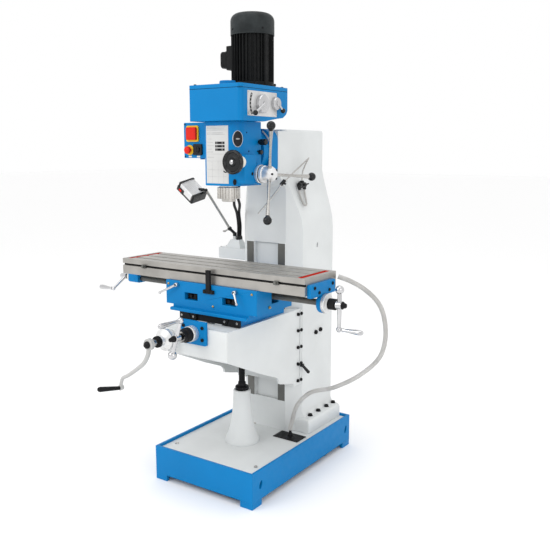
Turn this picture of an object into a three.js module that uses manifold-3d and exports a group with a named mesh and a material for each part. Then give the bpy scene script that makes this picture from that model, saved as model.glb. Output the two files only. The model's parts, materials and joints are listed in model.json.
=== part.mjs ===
// A knee-type vertical milling machine, in millimetres, +Z up, +X to the right along the table
// and +Y back towards the column. Built around the middle of its base, then moved so that the
// origin is under the middle of the whole machine.
import * as THREE from 'three';
import { mergeVertices } from 'three/addons/utils/BufferGeometryUtils.js';
import Module from 'manifold-3d';

const wasm = await Module();
wasm.setup();

// ---------------------------------------------------------------- driving dimensions
const GAP = 0.3; // between pieces that touch
const SLIDE_GAP = 0.5; // between pieces that slide on each other

const BASE = { width: 546, depth: 842, height: 159, foot: 27, wall: 16, rim: 12, tray: 147 };
const COLUMN = { half: 168, topHalf: 103, front: 75, rear: 408.5, top: 1579, foot: 213 };
const WAY = { outer: 109, inner: 69, front: 69, recess: 90, top: 1061, bottom: 300 };
const SPINDLE = { y: -208, noseZ: 1268 }; // its axis, and the nose's face
const SWIVEL_Z = 1480;
const HEAD = { left: -86, right: 92, front: -268, bottom: 1337, top: 1606 };
const GEARBOX = { half: 138, front: -300, rear: 46, bottom: 1606.3, top: 1755, wall: 12 };
const MOTOR = { y: -28, radius: 94, bottom: 1755.3, split: 1977, top: 2070 };
const KNEE = { half: 165, front: -445, top: 754, slide: 789 };
const SCREW_Y = -125; // the elevating screw's axis
const SADDLE = { half: 248, front: -350, rear: -86, bottom: 789.5, top: 920.7 };
const TABLE = { left: -529, right: 471, front: -338, rear: -92, top: 992, thick: 71 };
const TABLE_SCREW = { y: -215, z: 878, radius: 13 };
const CROSS_SCREW_Z = 735;
const LIFT = { x: -141, z: 690 };
const FEED = { y: -148, z: 1386, leverLength: 233, cone: (19 * Math.PI) / 180 };
const FINE = { x: 102, z: 1438 };
const GEARS = { module: 5, idlerY: -105.5, z0: 1642, z1: 1668, spindle: 24, idler: 17, motor: 14 };
// Speed selectors: dial centre, dial radius and thickness, and where the lever's knob is.
const SELECTORS = [
  { y: -160, z: 1677, radius: 38, thick: 20, knobY: -232, knobZ: 1638 },
  { y: -58, z: 1683, radius: 27, thick: 18, knobY: -26, knobZ: 1654 },
];

// ---------------------------------------------------------------- finishes
const finish = (color, roughness, metalness) => () =>
  new THREE.MeshStandardMaterial({ color, roughness, metalness });
const blue = finish(0x1b7fb8, 0.4, 0.1);
const white = finish(0xd6d9d6, 0.5, 0.1);
const steel = finish(0x8f9190, 0.35, 0.9);
const chrome = finish(0xd8dadb, 0.12, 1.0);
const black = finish(0x141416, 0.45, 0.1);
const castBlack = finish(0x202224, 0.6, 0.3);
const red = finish(0xc8261c, 0.4, 0.0);
const clear = finish(0xb9b2a8, 0.3, 0.0);

// ---------------------------------------------------------------- solids
// A closed three.js geometry as a solid that can be joined and cut.
function solid(geometry) {
  const g = geometry.clone();
  g.deleteAttribute('normal');
  g.deleteAttribute('uv');
  const merged = mergeVertices(g, 1e-4);
  return new wasm.Manifold(new wasm.Mesh({
    numProp: 3,
    vertProperties: new Float32Array(merged.attributes.position.array),
    triVerts: new Uint32Array(merged.index.array),
  }));
}

function placed(geometry, matrix) {
  geometry.applyMatrix4(matrix);
  return solid(geometry);
}

function box(x0, x1, y0, y1, z0, z1) {
  const g = new THREE.BoxGeometry(x1 - x0, y1 - y0, z1 - z0);
  g.translate((x0 + x1) / 2, (y0 + y1) / 2, (z0 + z1) / 2);
  return solid(g);
}

// The turn that takes a shape drawn in X and Y, and extruded along Z, to another axis.
// along 'x': drawn (y, z). along 'y': drawn (x, z), extruded towards -Y. along 'z': drawn (x, y).
const AXES = {
  x: new THREE.Matrix4().makeBasis(
    new THREE.Vector3(0, 1, 0), new THREE.Vector3(0, 0, 1), new THREE.Vector3(1, 0, 0)),
  y: new THREE.Matrix4().makeBasis(
    new THREE.Vector3(1, 0, 0), new THREE.Vector3(0, 0, 1), new THREE.Vector3(0, -1, 0)),
  z: new THREE.Matrix4(),
};

// A shape extruded along an axis from one place on it to another.
function prism(shape, axis, from, to) {
  const lo = Math.min(from, to);
  const hi = Math.max(from, to);
  const g = new THREE.ExtrudeGeometry(shape, { depth: hi - lo, bevelEnabled: false, curveSegments: 3 });
  g.translate(0, 0, axis === 'y' ? -hi : lo);
  return placed(g, AXES[axis]);
}

const outline = (points) => new THREE.Shape(points.map(([a, b]) => new THREE.Vector2(a, b)));

// A rectangle with rounded corners; radii go anticlockwise from the lower left corner.
function roundedRect(x0, x1, y0, y1, radii) {
  const [a, b, c, d] = Array.isArray(radii) ? radii : [radii, radii, radii, radii];
  const s = new THREE.Shape();
  s.moveTo(x0 + a, y0);
  s.lineTo(x1 - b, y0);
  if (b) s.absarc(x1 - b, y0 + b, b, -Math.PI / 2, 0);
  s.lineTo(x1, y1 - c);
  if (c) s.absarc(x1 - c, y1 - c, c, 0, Math.PI / 2);
  s.lineTo(x0 + d, y1);
  if (d) s.absarc(x0 + d, y1 - d, d, Math.PI / 2, Math.PI);
  s.lineTo(x0, y0 + a);
  if (a) s.absarc(x0 + a, y0 + a, a, Math.PI, Math.PI * 1.5);
  return s;
}

// A turned piece. The profile is [radius, distance along the axis], from the axis to the axis.
function turned(profile, axis, centre, sides = 14) {
  const g = new THREE.LatheGeometry(profile.map(([r, h]) => new THREE.Vector2(r, h)), sides);
  const m = new THREE.Matrix4();
  if (axis === 'x') m.makeRotationZ(-Math.PI / 2);
  if (axis === 'z') m.makeRotationX(Math.PI / 2);
  g.applyMatrix4(m);
  g.translate(...centre);
  return solid(g);
}

// A rod along one axis, between two places on it. centre gives the other two coordinates.
function rod(axis, from, to, centre, radius, sides = 14) {
  const lo = Math.min(from, to);
  const hi = Math.max(from, to);
  const c = [...centre];
  c['xyz'.indexOf(axis)] = lo;
  return turned([[0, 0], [radius, 0], [radius, hi - lo], [0, hi - lo]], axis, c, sides);
}

// A rod from one point to another, with a radius at each end.
function strut(p, q, r0, r1 = r0, sides = 8) {
  const a = new THREE.Vector3(...p);
  const b = new THREE.Vector3(...q);
  const g = new THREE.CylinderGeometry(r1, r0, a.distanceTo(b), sides);
  const turn = new THREE.Quaternion().setFromUnitVectors(
    new THREE.Vector3(0, 1, 0), b.clone().sub(a).normalize());
  g.applyQuaternion(turn);
  g.translate(...a.clone().add(b).multiplyScalar(0.5).toArray());
  return solid(g);
}

function ball(centre, radius, sides = 10) {
  const g = new THREE.SphereGeometry(radius, sides, Math.round(sides * 0.6));
  g.translate(...centre);
  return solid(g);
}

// A round tube or wire along a smooth curve through the points.
function sweep(points, radius, sides, steps) {
  const through = points.map((p) => new THREE.Vector3(...p));
  const curve = new THREE.CatmullRomCurve3(through, false, 'centripetal');
  const section = new THREE.Shape();
  section.absarc(0, 0, radius, 0, Math.PI * 2);
  const ring = new THREE.Shape(section.getSpacedPoints(sides).slice(0, sides));
  return solid(new THREE.ExtrudeGeometry(ring, { steps, extrudePath: curve, bevelEnabled: false }));
}

// A solid skinned over sections that all have the same number of points.
function loft(sections) {
  const n = sections[0].length;
  const vertices = sections.flat(2);
  const faces = [];
  for (let k = 0; k + 1 < sections.length; k += 1) {
    for (let i = 0; i < n; i += 1) {
      const a = k * n + i;
      const b = k * n + ((i + 1) % n);
      faces.push(a, b, b + n, a, b + n, a + n);
    }
  }
  const flat = sections[0].map(([x, y]) => new THREE.Vector2(x, y));
  for (const [a, b, c] of THREE.ShapeUtils.triangulateShape(flat, [])) {
    faces.push(c, b, a);
    const top = (sections.length - 1) * n;
    faces.push(top + a, top + b, top + c);
  }
  const g = new THREE.BufferGeometry();
  g.setAttribute('position', new THREE.Float32BufferAttribute(vertices, 3));
  g.setIndex(faces);
  return solid(g);
}

// The outline of teeth or fins round a circle. widths are half a tooth's width at its root and
// tip, as shares of the spacing; phase turns the whole ring, in teeth.
function toothedRing(count, root, tip, phase = 0, [wide, narrow] = [0.25, 0.1]) {
  const s = new THREE.Shape();
  const step = (Math.PI * 2) / count;
  for (let i = 0; i < count; i += 1) {
    [[-wide, root], [-narrow, tip], [narrow, tip], [wide, root]].forEach(([at, r], k) => {
      const a = (i + at + phase) * step;
      if (i + k === 0) s.moveTo(r * Math.cos(a), r * Math.sin(a));
      else s.lineTo(r * Math.cos(a), r * Math.sin(a));
    });
  }
  return s;
}

const join = (...parts) => parts.reduce((a, b) => a.add(b));
const cut = (body, ...tools) => tools.reduce((a, b) => a.subtract(b), body);
const shift = (body, x, y, z) => body.translate([x, y, z]);

const machine = new THREE.Group();

// Adds one piece to an assembly. The piece's own origin is put at its pivot.
function addPart(assembly, name, body, makeMaterial, pivot = [0, 0, 0]) {
  const m = body.getMesh();
  const g = new THREE.BufferGeometry();
  g.setAttribute('position', new THREE.BufferAttribute(new Float32Array(m.vertProperties), 3));
  g.setIndex(new THREE.BufferAttribute(new Uint32Array(m.triVerts), 1));
  g.translate(-pivot[0], -pivot[1], -pivot[2]);
  g.computeVertexNormals();
  const mesh = new THREE.Mesh(g, makeMaterial());
  mesh.name = name;
  mesh.position.set(...pivot);
  assembly.add(mesh);
}

// ---------------------------------------------------------------- base and column
function baseCasting() {
  const x = BASE.width / 2;
  const y = BASE.depth / 2;
  const footX = 65;
  const footY = 69;
  let body = box(-x, x, -y, y, BASE.foot, BASE.height);
  for (const sx of [-1, 1]) {
    for (const sy of [-1, 1]) {
      const [x0, x1] = [sx * x, sx * (x - footX)].sort((a, b) => a - b);
      const [y0, y1] = [sy * y, sy * (y - footY)].sort((a, b) => a - b);
      body = join(body, box(x0, x1, y0, y1, 0, BASE.foot + 1));
    }
  }
  const inX = x - BASE.wall;
  const inY = y - BASE.wall;
  const slot = new THREE.Shape();
  slot.absellipse(0, 0, 10, 21, 0, Math.PI * 2, false, -0.35);
  return cut(
    body,
    box(-x + BASE.rim, x - BASE.rim, -y + BASE.rim, y - BASE.rim, BASE.tray, BASE.height + 1),
    box(-inX, inX, -inY, inY, -1, BASE.tray - 20),
    rod('z', BASE.tray - 25, BASE.tray + 5, [0, SCREW_Y, 0], 34),
    ...[-359, 381].map((at) => shift(prism(slot, 'x', -x - 5, x + 5), 0, at, 92)),
  );
}

// The column's outline in plan at one height, with its front corners bevelled.
function columnSection(z, half) {
  const flat = Math.min(WAY.outer, half - 11);
  const back = COLUMN.front + (half - flat) * 0.95;
  return [[-flat, COLUMN.front], [flat, COLUMN.front], [half, back], [half, COLUMN.rear],
    [-half, COLUMN.rear], [-half, back]].map(([x, y]) => [x, y, z]);
}

function column() {
  const floor = BASE.tray + GAP;
  const shell = loft([
    columnSection(floor, 182), columnSection(COLUMN.foot, 180), columnSection(240, COLUMN.half),
    columnSection(1115, COLUMN.half), columnSection(1170, 163), columnSection(1215, 152),
    columnSection(1265, 137), columnSection(1310, 124), columnSection(1350, 112),
    columnSection(1392, COLUMN.topHalf), columnSection(1568, COLUMN.topHalf),
    columnSection(COLUMN.top, COLUMN.topHalf - 5),
  ]);
  const footRing = (z, inset) => [[-222, 107], [222, 107], [222, COLUMN.rear], [-222, COLUMN.rear]]
    .map(([x, y]) => [x - Math.sign(x) * inset, y === 107 ? 107 + inset : y, z]);
  const foot = loft([footRing(floor, 0), footRing(196, 0), footRing(208, 6), footRing(COLUMN.foot, 16)]);
  const mount = prism(outline([[20, COLUMN.top - 8], [20, 1385], [76, 1320], [90, 1320],
    [90, COLUMN.top - 8]]), 'x', -COLUMN.topHalf, COLUMN.topHalf);
  const ways = [-1, 1].map((s) => {
    const [a, b] = [s * WAY.inner, s * WAY.outer].sort((p, q) => p - q);
    return box(a, b, WAY.front, COLUMN.front + 5, WAY.bottom, WAY.top);
  });
  const hole = new THREE.Shape();
  hole.absellipse(0, 0, 8, 13, 0, Math.PI * 2, false, -0.3);
  return cut(
    join(shell, foot, mount, ...ways),
    box(-WAY.inner, WAY.inner, 60, WAY.recess, WAY.bottom, WAY.top),
    box(-142, 142, 116, COLUMN.rear - 22, 100, 1090),
    box(-78, 78, 116, COLUMN.rear - 22, 1080, 1545),
    shift(prism(hole, 'x', 130, 180), 0, 262, 1041),
  );
}

function screwPedestal() {
  const foot = BASE.tray + GAP;
  const outer = turned([[0, foot], [80, foot], [80, 158], [72, 178], [60, 210], [52, 245], [46, 285],
    [42, 340], [40, 396], [0, 396]], 'z', [0, SCREW_Y, 0], 18);
  return cut(outer, rod('z', foot - 5, 440, [0, SCREW_Y, 0], 15.5));
}

function pedestalNut() {
  const at = [0, SCREW_Y, 0];
  return cut(
    join(rod('z', 396 + GAP, 414, at, 31, 20), rod('z', 412, 432, at, 20, 16)),
    rod('z', 390, 440, at, 15.5),
  );
}

function drainPlate() {
  const plate = box(94, 231, -10, 70, BASE.tray + GAP, BASE.tray + 4);
  const nipple = turned([[0, 149], [13, 149], [13, 158], [9, 160], [9, 168], [6.5, 168], [6.5, 178],
    [0, 178]], 'z', [163, 36, 0], 8);
  return join(plate, nipple);
}

function swivelBlock() {
  const face = roundedRect(-COLUMN.topHalf, COLUMN.topHalf, 1385, 1580, [30, 30, 52, 52]);
  return prism(face, 'y', -38, 20 - GAP);
}

// The box on the column's left side, with the lamp's foot on its lid.
function electricalBox() {
  const side = -COLUMN.half - GAP;
  const body = prism(roundedRect(-348, side, 949, 1005, 6), 'y', 150, 212);
  const foot = loft([
    [[-300, 152, 1004], [-214, 152, 1004], [-214, 208, 1004], [-300, 208, 1004]],
    [[-300, 152, 1012], [-214, 152, 1012], [-214, 208, 1012], [-300, 208, 1012]],
    [[-284, 166, 1046], [-232, 166, 1046], [-232, 200, 1046], [-284, 200, 1046]],
  ]);
  const post = rod('z', 1040, 1062, [-268, 181, 0], 10, 10);
  return join(body, foot, post);
}

// ---------------------------------------------------------------- lamp and coolant
const LAMP = { foot: [-268, 181, 1062], knuckle: [-284, 160, 1100], end: [-300, 0, 1298] };

function lampArm() {
  const [x, y, z] = LAMP.foot;
  return join(
    rod('z', z + GAP, z + 16, [x, y, 0], 10, 10),
    strut([x, y, z + 12], LAMP.knuckle, 7, 7),
    ball(LAMP.knuckle, 11),
    strut(LAMP.knuckle, [-299, 10, 1286], 6.5, 6.5),
    strut([-299, 10, 1286], LAMP.end, 6, 5),
  );
}

// A rectangular lamp head that looks down at the spindle; its swivel socket faces the arm.
function lampHead() {
  const shell = prism(roundedRect(-57, 57, -46, 46, 8), 'z', -24, 24);
  const glass = prism(roundedRect(-50, 50, -39, 39, 5), 'z', -30, -18);
  const lug = rod('x', -340, LAMP.end[0] - 12, [0, 0, LAMP.end[2] + 2], 7);
  return join(shift(shell.subtract(glass).rotate([17, 38, 0]), -375, -13, 1295), lug);
}

const VALVE = { x: 133, y: 165, z: 1328 };

function coolantValve() {
  const { x, y, z } = VALVE;
  return join(
    rod('x', 125.5, 150, [0, y, z], 17, 10),
    rod('y', y - 27, y + 27, [x + 6, 0, z], 12, 10),
    rod('z', z, z + 20, [x + 6, y, 0], 11, 10),
    rod('z', z - 22, z, [x + 6, y + 22, 0], 8, 8),
    rod('z', z - 22, z, [x + 6, y - 22, 0], 8, 8),
  );
}

// The nozzle's thin pipe: up from the valve, over, and forward to its tip beside the spindle.
function coolantNozzle() {
  const { x, y, z } = VALVE;
  const pipe = sweep([[x + 6, y, z + 20 + GAP], [x + 7, y + 4, z + 60], [x + 12, y + 30, z + 105],
    [x + 14, y + 44, z + 122], [x + 14, y + 36, z + 118], [x + 14, y - 20, z + 90],
    [x + 16, y - 90, z + 58], [x + 16, y - 150, z + 28], [x + 14, y - 176, z + 14],
    [x + 2, y - 205, z - 20], [x - 16, y - 240, z - 64], [x - 38, y - 290, z - 116]], 3.2, 8, 34);
  const clamp = strut([x + 15, y - 162, z + 24], [x + 12, y - 184, z + 8], 9, 9, 12);
  return join(pipe, clamp);
}

function coolantHose() {
  const { x, y, z } = VALVE;
  return sweep([[x + 6, y - 22, z - 23], [x + 6, y - 22, z - 32], [x + 14, y - 20, z - 62],
    [x + 26, y - 8, z - 92], [x + 26, y + 8, z - 92], [x + 14, y + 20, z - 62],
    [x + 6, y + 22, z - 32], [x + 6, y + 22, z - 23]], 4.5, 8, 22);
}

// Two flexible conduits from under the head to the electrical box.
const CONDUIT_BOX_END = [[-241, 174, 1046 + GAP], [-241, 191, 1046 + GAP]];

function conduit([bx, by, bz], [tx, ty], swing) {
  return sweep([[bx, by, bz], [bx, by, bz + 22], [bx + 12, by - 14, bz + 66], [-182, 96 + swing, 1186],
    [-118 + swing, 4 + swing, 1236], [-58 + swing, -80, 1280], [tx - 4, ty + 6, 1312],
    [tx, ty, 1326], [tx, ty, HEAD.bottom - GAP]], 6.5, 8, 30);
}

// ---------------------------------------------------------------- knee
function kneeCasting() {
  const side = outline([[KNEE.front, 628], [-197, 515], [-79, 467], [-62, 450], [-55, 430],
    [68.4, 397], [68.4, KNEE.top], [KNEE.front, KNEE.top]]);
  const plan = roundedRect(-KNEE.half, KNEE.half, KNEE.front, 70, [10, 10, 0, 0]);
  const block = prism(side, 'x', -KNEE.half, KNEE.half).intersect(prism(plan, 'z', 380, 760));
  const slide = prism(outline([[-95, KNEE.top - 2], [95, KNEE.top - 2], [95, KNEE.top],
    [110, KNEE.slide], [-110, KNEE.slide], [-95, KNEE.top]]), 'y', SADDLE.front + 5, 50);
  const lugs = [-1, 1].map((s) => {
    const points = [[112, 60], [KNEE.half, 60], [KNEE.half, 124], [112, 74]].map(([x, y]) => [s * x, y]);
    return prism(outline(s < 0 ? points.reverse() : points), 'z', 385, KNEE.top);
  });
  const face = prism(roundedRect(-48 + LIFT.x + 6, 48 + LIFT.x + 6, LIFT.z - 44, LIFT.z + 44, 40), 'y',
    KNEE.front - 8, KNEE.front + 2);
  const bridge = box(-153, 153, -165, -85, 640, 660);
  const hollow = box(-153, 153, -415, 40, 300, 715);
  return cut(
    join(cut(join(block, slide, ...lugs, face), hollow), bridge),
    box(-22, 22, SADDLE.front, 52, 700, 800),
    rod('z', 630, 670, [0, SCREW_Y, 0], 15.5),
    rod('y', -470, -400, [LIFT.x, 0, LIFT.z], 10.5, 10),
    rod('y', -460, SADDLE.front + 2, [0, 0, CROSS_SCREW_Z], 11.6, 10),
  );
}

function kneeGib() {
  return box(KNEE.half + GAP, KNEE.half + 4, 112, 124, 392, 748);
}

function kneeLock() {
  const at = [0, 116, 480];
  return join(
    rod('x', KNEE.half + 4 + GAP, KNEE.half + 20, at, 9, 12),
    strut([KNEE.half + 14, 116, 480], [KNEE.half + 34, 136, 446], 5.5, 7.5),
  );
}

function crossScrewBearing() {
  const plate = prism(roundedRect(-67, 67, 686, 786, 4), 'y', KNEE.front - 16, KNEE.front - GAP);
  const boss = turned([[0, -492], [28, -492], [31, -484], [32, -458], [0, -458]], 'y',
    [0, 0, CROSS_SCREW_Z], 24);
  return cut(join(plate, boss), rod('y', -500, -440, [0, 0, CROSS_SCREW_Z], 11.6, 10));
}

function elevatingScrew() {
  const worm = shift(prism(toothedRing(36, 123, 126.5), 'z', 676, 704), 0, SCREW_Y, 0);
  return join(
    rod('z', 166, 700, [0, SCREW_Y, 0], 14.5, 12),
    rod('z', 660 + GAP, 680, [0, SCREW_Y, 0], 30, 14),
    worm,
  );
}

// ---------------------------------------------------------------- cranks of the knee
function liftShaft() {
  const front = KNEE.front - 8 - GAP;
  return turned([[0, -604], [9, -604], [9, -596], [16, -596], [16, -586], [15, -586], [15, -548],
    [13, -548], [13, -520], [22, -520], [22, -496], [48, -488], [48, -472], [40, front], [9.8, front],
    [9.8, -146], [10.2, -146], [10.2, -104], [0, -104]], 'y', [LIFT.x, 0, LIFT.z], 24);
}

const LIFT_GRIP = [-297, -606, 479];

function liftCrank() {
  const [x, z] = [LIFT.x, LIFT.z];
  const end = [-297, -595, 479];
  const arm = sweep([[x, -578, z - 18], [x - 3, -581, z - 42], [x - 22, -586, z - 80],
    [x - 66, -592, z - 118], [x - 112, -595, z - 150], [end[0] + 12, -596, end[2] + 42],
    [end[0], -596, end[2] + 8]], 7.5, 8, 16);
  const hub = cut(rod('y', -585, -566, [x, 0, z], 25, 20), rod('y', -590, -560, [x, 0, z], 16.4, 14));
  const foot = rod('y', -603, -586, [end[0], 0, end[2]], 11, 10);
  return join(hub, arm, foot);
}

// The grip leans up a little towards its end.
function liftGrip() {
  const lean = 0.22;
  const grip = turned([[0, -118], [8, -118], [11, -112], [11, -16], [8, -GAP], [0, -GAP]], 'y', [0, 0, 0]);
  return shift(grip.rotate([(-lean * 180) / Math.PI, 0, 0]), ...LIFT_GRIP);
}

function crossScrew() {
  return turned([[0, -548], [10, -548], [10, -535], [25, -535], [25, -514], [31, -510],
    [31, -492 - GAP], [11, -492 - GAP], [11, 20], [0, 20]], 'y', [0, 0, CROSS_SCREW_Z], 16);
}

const CROSS_ARM = 80;
const CROSS_TILT = 0.31; // of the ball crank, from upright

function crossCrank() {
  const at = (r) => [r * Math.sin(CROSS_TILT), -563, CROSS_SCREW_Z + r * Math.cos(CROSS_TILT)];
  return join(
    rod('y', -576, -548 - GAP, [0, 0, CROSS_SCREW_Z], 16, 12),
    turned([[0, -604], [8, -602], [13, -580], [13, -574], [0, -574]], 'y', [0, 0, CROSS_SCREW_Z], 10),
    strut(at(-CROSS_ARM), at(CROSS_ARM), 7.5),
    ball(at(CROSS_ARM), 13),
    ball(at(-CROSS_ARM), 19),
  );
}

function crossGrip() {
  const x = CROSS_ARM * Math.sin(CROSS_TILT);
  const z = CROSS_SCREW_Z + CROSS_ARM * Math.cos(CROSS_TILT);
  return turned([[0, -690], [8, -688], [11, -672], [10, -640], [7, -600], [6, -576 - GAP],
    [0, -576 - GAP]], 'y', [x, 0, z], 10);
}

// ---------------------------------------------------------------- saddle and table
function saddleCasting() {
  const slideCut = prism(outline([[-95.6, 750], [95.6, 750], [95.6, KNEE.top], [110.8, KNEE.slide + 0.6],
    [-110.8, KNEE.slide + 0.6], [-95.6, KNEE.top]]), 'y', -400, 80);
  const y0 = TABLE_SCREW.y - 26;
  const y1 = TABLE_SCREW.y + 26;
  return cut(
    join(
      box(-SADDLE.half, SADDLE.half, SADDLE.front, SADDLE.rear, 815, SADDLE.top),
      box(-208, 208, SADDLE.front, SADDLE.rear, SADDLE.bottom, 816),
      box(-150, 150, SADDLE.front + 5, 0, KNEE.top + SLIDE_GAP, 816),
    ),
    slideCut,
    box(-260, -34, y0, y1, 850, 925),
    box(34, 260, y0, y1, 850, 925),
    rod('x', -40, 40, [0, TABLE_SCREW.y, TABLE_SCREW.z], TABLE_SCREW.radius + 0.6),
    box(-140, -67, SADDLE.front - 5, SADDLE.front + 24, 843, 875),
    box(69, 142, SADDLE.front - 5, SADDLE.front + 24, 843, 875),
  ).add(saddleNut());
}

// The nut under the saddle that the cross screw turns in.
function saddleNut() {
  return cut(box(-20, 20, -235, -190, 719, 800), rod('y', -240, -185, [0, 0, CROSS_SCREW_Z], 11.6, 10));
}

function travelStop() {
  return join(
    box(-11, 11, SADDLE.front - 12, SADDLE.front - GAP, 890, 986),
    box(-29, 29, SADDLE.front - 10, SADDLE.front - GAP, 884, 900),
  );
}

function lockLever(pivotX, tip) {
  return join(
    rod('y', SADDLE.front - 20, SADDLE.front - GAP, [pivotX, 0, 905], 9, 8),
    strut([pivotX, SADDLE.front - 15, 905], tip, 5, 4),
    ball(tip, 6.5, 8),
  );
}

function workTable() {
  const t = TABLE;
  const middle = (t.front + t.rear) / 2;
  const tools = [];
  for (const slot of [-70, 0, 70]) {
    const y = middle + slot;
    tools.push(box(-500, 437, y - 7, y + 7, 966, t.top + 1));
    tools.push(box(-500, 437, y - 12, y + 12, 957, 967));
  }
  for (const [x0, x1] of [[-513, -490], [425, 450]]) {
    tools.push(box(x0, x1, t.front + 14, t.rear - 12, t.top - 12, t.top + 1));
  }
  tools.push(box(t.left - 5, t.right + 5, t.front - 5, t.front + 12, 960, 969));
  return cut(box(t.left, t.right, t.front, t.rear, t.top - t.thick, t.top), ...tools);
}

function rightBracket() {
  const s = TABLE_SCREW;
  const plate = prism(roundedRect(-322, -128, 912, 966, 6), 'x', TABLE.right + GAP, TABLE.right + 18);
  const boss = turned([[0, 0], [38, 0], [40, 4], [40, 16], [36, 19], [0, 19]], 'x',
    [TABLE.right + GAP, s.y, s.z], 28);
  return cut(join(plate, boss), rod('x', TABLE.right - 5, TABLE.right + 40, [0, s.y, s.z], s.radius + 0.6));
}

const LEFT_BRACKET = 64; // how far the left bracket stands out

function leftBracket() {
  const s = TABLE_SCREW;
  const lug = prism(roundedRect(s.y - 56, s.y + 56, 905, 950, 6), 'x', TABLE.left - 18, TABLE.left - GAP);
  const body = prism(roundedRect(s.y - 30, s.y + 30, s.z - 20, s.z + 34, 12), 'x',
    TABLE.left - LEFT_BRACKET, TABLE.left - GAP);
  const bore = rod('x', TABLE.left - LEFT_BRACKET - 5, TABLE.left + 5, [0, s.y, s.z], s.radius + 0.6);
  return cut(join(lug, body), bore);
}

function tableScrew() {
  const right = TABLE.right + 19 + 2 * GAP;
  const left = TABLE.left - LEFT_BRACKET - GAP;
  return turned([[0, left - 36], [9, left - 36], [9, left - 26], [19, left - 22], [19, left - 4], [22, left],
    [13, left], [13, right], [40, right], [40, right + 16], [23, right + 20], [23, right + 52],
    [10, right + 52], [10, right + 60], [0, right + 60]], 'x', [0, TABLE_SCREW.y, TABLE_SCREW.z], 18);
}

const CRANK_RIGHT = { x0: 543.8, x1: 572, arm: 100, counter: 62 };

function rightCrank() {
  const s = TABLE_SCREW;
  const x = (CRANK_RIGHT.x0 + CRANK_RIGHT.x1) / 2;
  const hub = turned([[0, 0], [17, 0], [17, 24], [15, 30], [9, 44], [0, 46]], 'x', [543.8, s.y, s.z], 12);
  const socket = rod('x', 530, 552.2, [0, s.y, s.z], 10.4, 18);
  return join(
    cut(hub, socket),
    cut(strut([x, s.y, s.z - CRANK_RIGHT.arm], [x, s.y, s.z + CRANK_RIGHT.counter], 8), socket),
    ball([x, s.y, s.z + CRANK_RIGHT.counter], 18),
    ball([x, s.y, s.z - CRANK_RIGHT.arm], 12),
  );
}

const gripProfile = (length) => [[0, 0], [6, 0], [7, length * 0.25], [10, length * 0.6],
  [11, length * 0.85], [7, length * 0.99], [0, length]];

function rightGrip() {
  return turned(gripProfile(94), 'x', [571, TABLE_SCREW.y, TABLE_SCREW.z - CRANK_RIGHT.arm], 14);
}

const CRANK_LEFT = { x: -641, dy: -82, dz: -50 };

function leftCrank() {
  const s = TABLE_SCREW;
  const { x, dy, dz } = CRANK_LEFT;
  const hub = turned([[0, -34], [8, -32], [10, -18], [14, -12], [14, 10], [0, 10]], 'x', [x, s.y, s.z], 10);
  const socket = rod('x', -630, -600, [0, s.y, s.z], 9.4, 18);
  return join(
    cut(hub, socket),
    cut(strut([x, s.y, s.z], [x, s.y + dy, s.z + dz], 6.5), rod('x', -636, -600, [0, s.y, s.z], 9.4, 18)),
    ball([x, s.y + dy, s.z + dz], 9.5, 8),
  );
}

function leftGrip() {
  const profile = gripProfile(84).map(([r, h]) => [r, -h]).reverse();
  const { x, dy, dz } = CRANK_LEFT;
  return turned(profile, 'x', [x - 10, TABLE_SCREW.y + dy, TABLE_SCREW.z + dz], 14);
}

// ---------------------------------------------------------------- head and quill
function headCasting() {
  const h = HEAD;
  const block = prism(roundedRect(h.left, h.right, h.front, -95, [14, 58, 0, 0]), 'z', h.bottom, h.top);
  const neck = prism(roundedRect(-78, 78, 1395, 1565, 10), 'y', -96, -70);
  const flange = rod('y', -80, -38 - GAP, [0, 0, SWIVEL_Z], 98, 24);
  const feedBoss = rod('x', 80, 119.7, [0, FEED.y, FEED.z], 44, 18);
  const fineBox = prism(roundedRect(-250, -168, 1345, 1468, 12), 'x', 60, 118);
  return cut(
    join(block, neck, flange, feedBoss, fineBox),
    rod('z', h.bottom - 5, h.top + 5, [0, SPINDLE.y, 0], 40.5, 20),
    rod('x', -66, 130, [0, FEED.y, FEED.z], 20, 16),
    rod('y', -260, -205, [FINE.x, 0, FINE.z], 8.5, 10),
  );
}

function gearboxHousing() {
  const g = GEARBOX;
  const side = outline([[g.front, g.bottom], [-131, g.bottom], [-48, 1619], [7, 1625], [32, 1640],
    [g.rear, 1662], [g.rear, 1738], [g.front, 1738]]);
  const plan = roundedRect(-g.half, g.half, g.front, g.rear, [10, 22, 6, 6]);
  const w = g.wall;
  return cut(
    prism(side, 'x', -g.half, g.half).intersect(prism(plan, 'z', 1600, 1745)),
    box(-g.half + w, g.half - w, g.front + w, -80, 1620, 1745),
    box(-g.half + w, g.half - w, -81, g.rear - w, 1674, 1745),
    rod('z', 1637, 1745, [0, GEARS.idlerY, 0], 50, 16),
    rod('z', 1637, 1745, [0, MOTOR.y, 0], 42, 16),
    rod('z', 1600, 1630, [0, SPINDLE.y, 0], 17, 14),
    rod('z', 1626, 1640, [0, GEARS.idlerY, 0], 8.5, 10),
    ...SELECTORS.map((d) => rod('x', 120, 145, [0, d.y, d.z], 8.5, 10)),
  );
}

function gearboxLid() {
  const g = GEARBOX;
  const lid = prism(roundedRect(-g.half, g.half, g.front, g.rear, [10, 22, 6, 6]), 'z', 1738 + GAP, g.top);
  const cap = rod('z', g.top - 1, 1774, [0, SPINDLE.y, 0], 34, 18);
  return cut(
    join(lid, cap),
    rod('z', 1730, 1768, [0, SPINDLE.y, 0], 20, 14),
    rod('z', 1730, 1760, [0, MOTOR.y, 0], 30, 16),
  );
}

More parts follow.
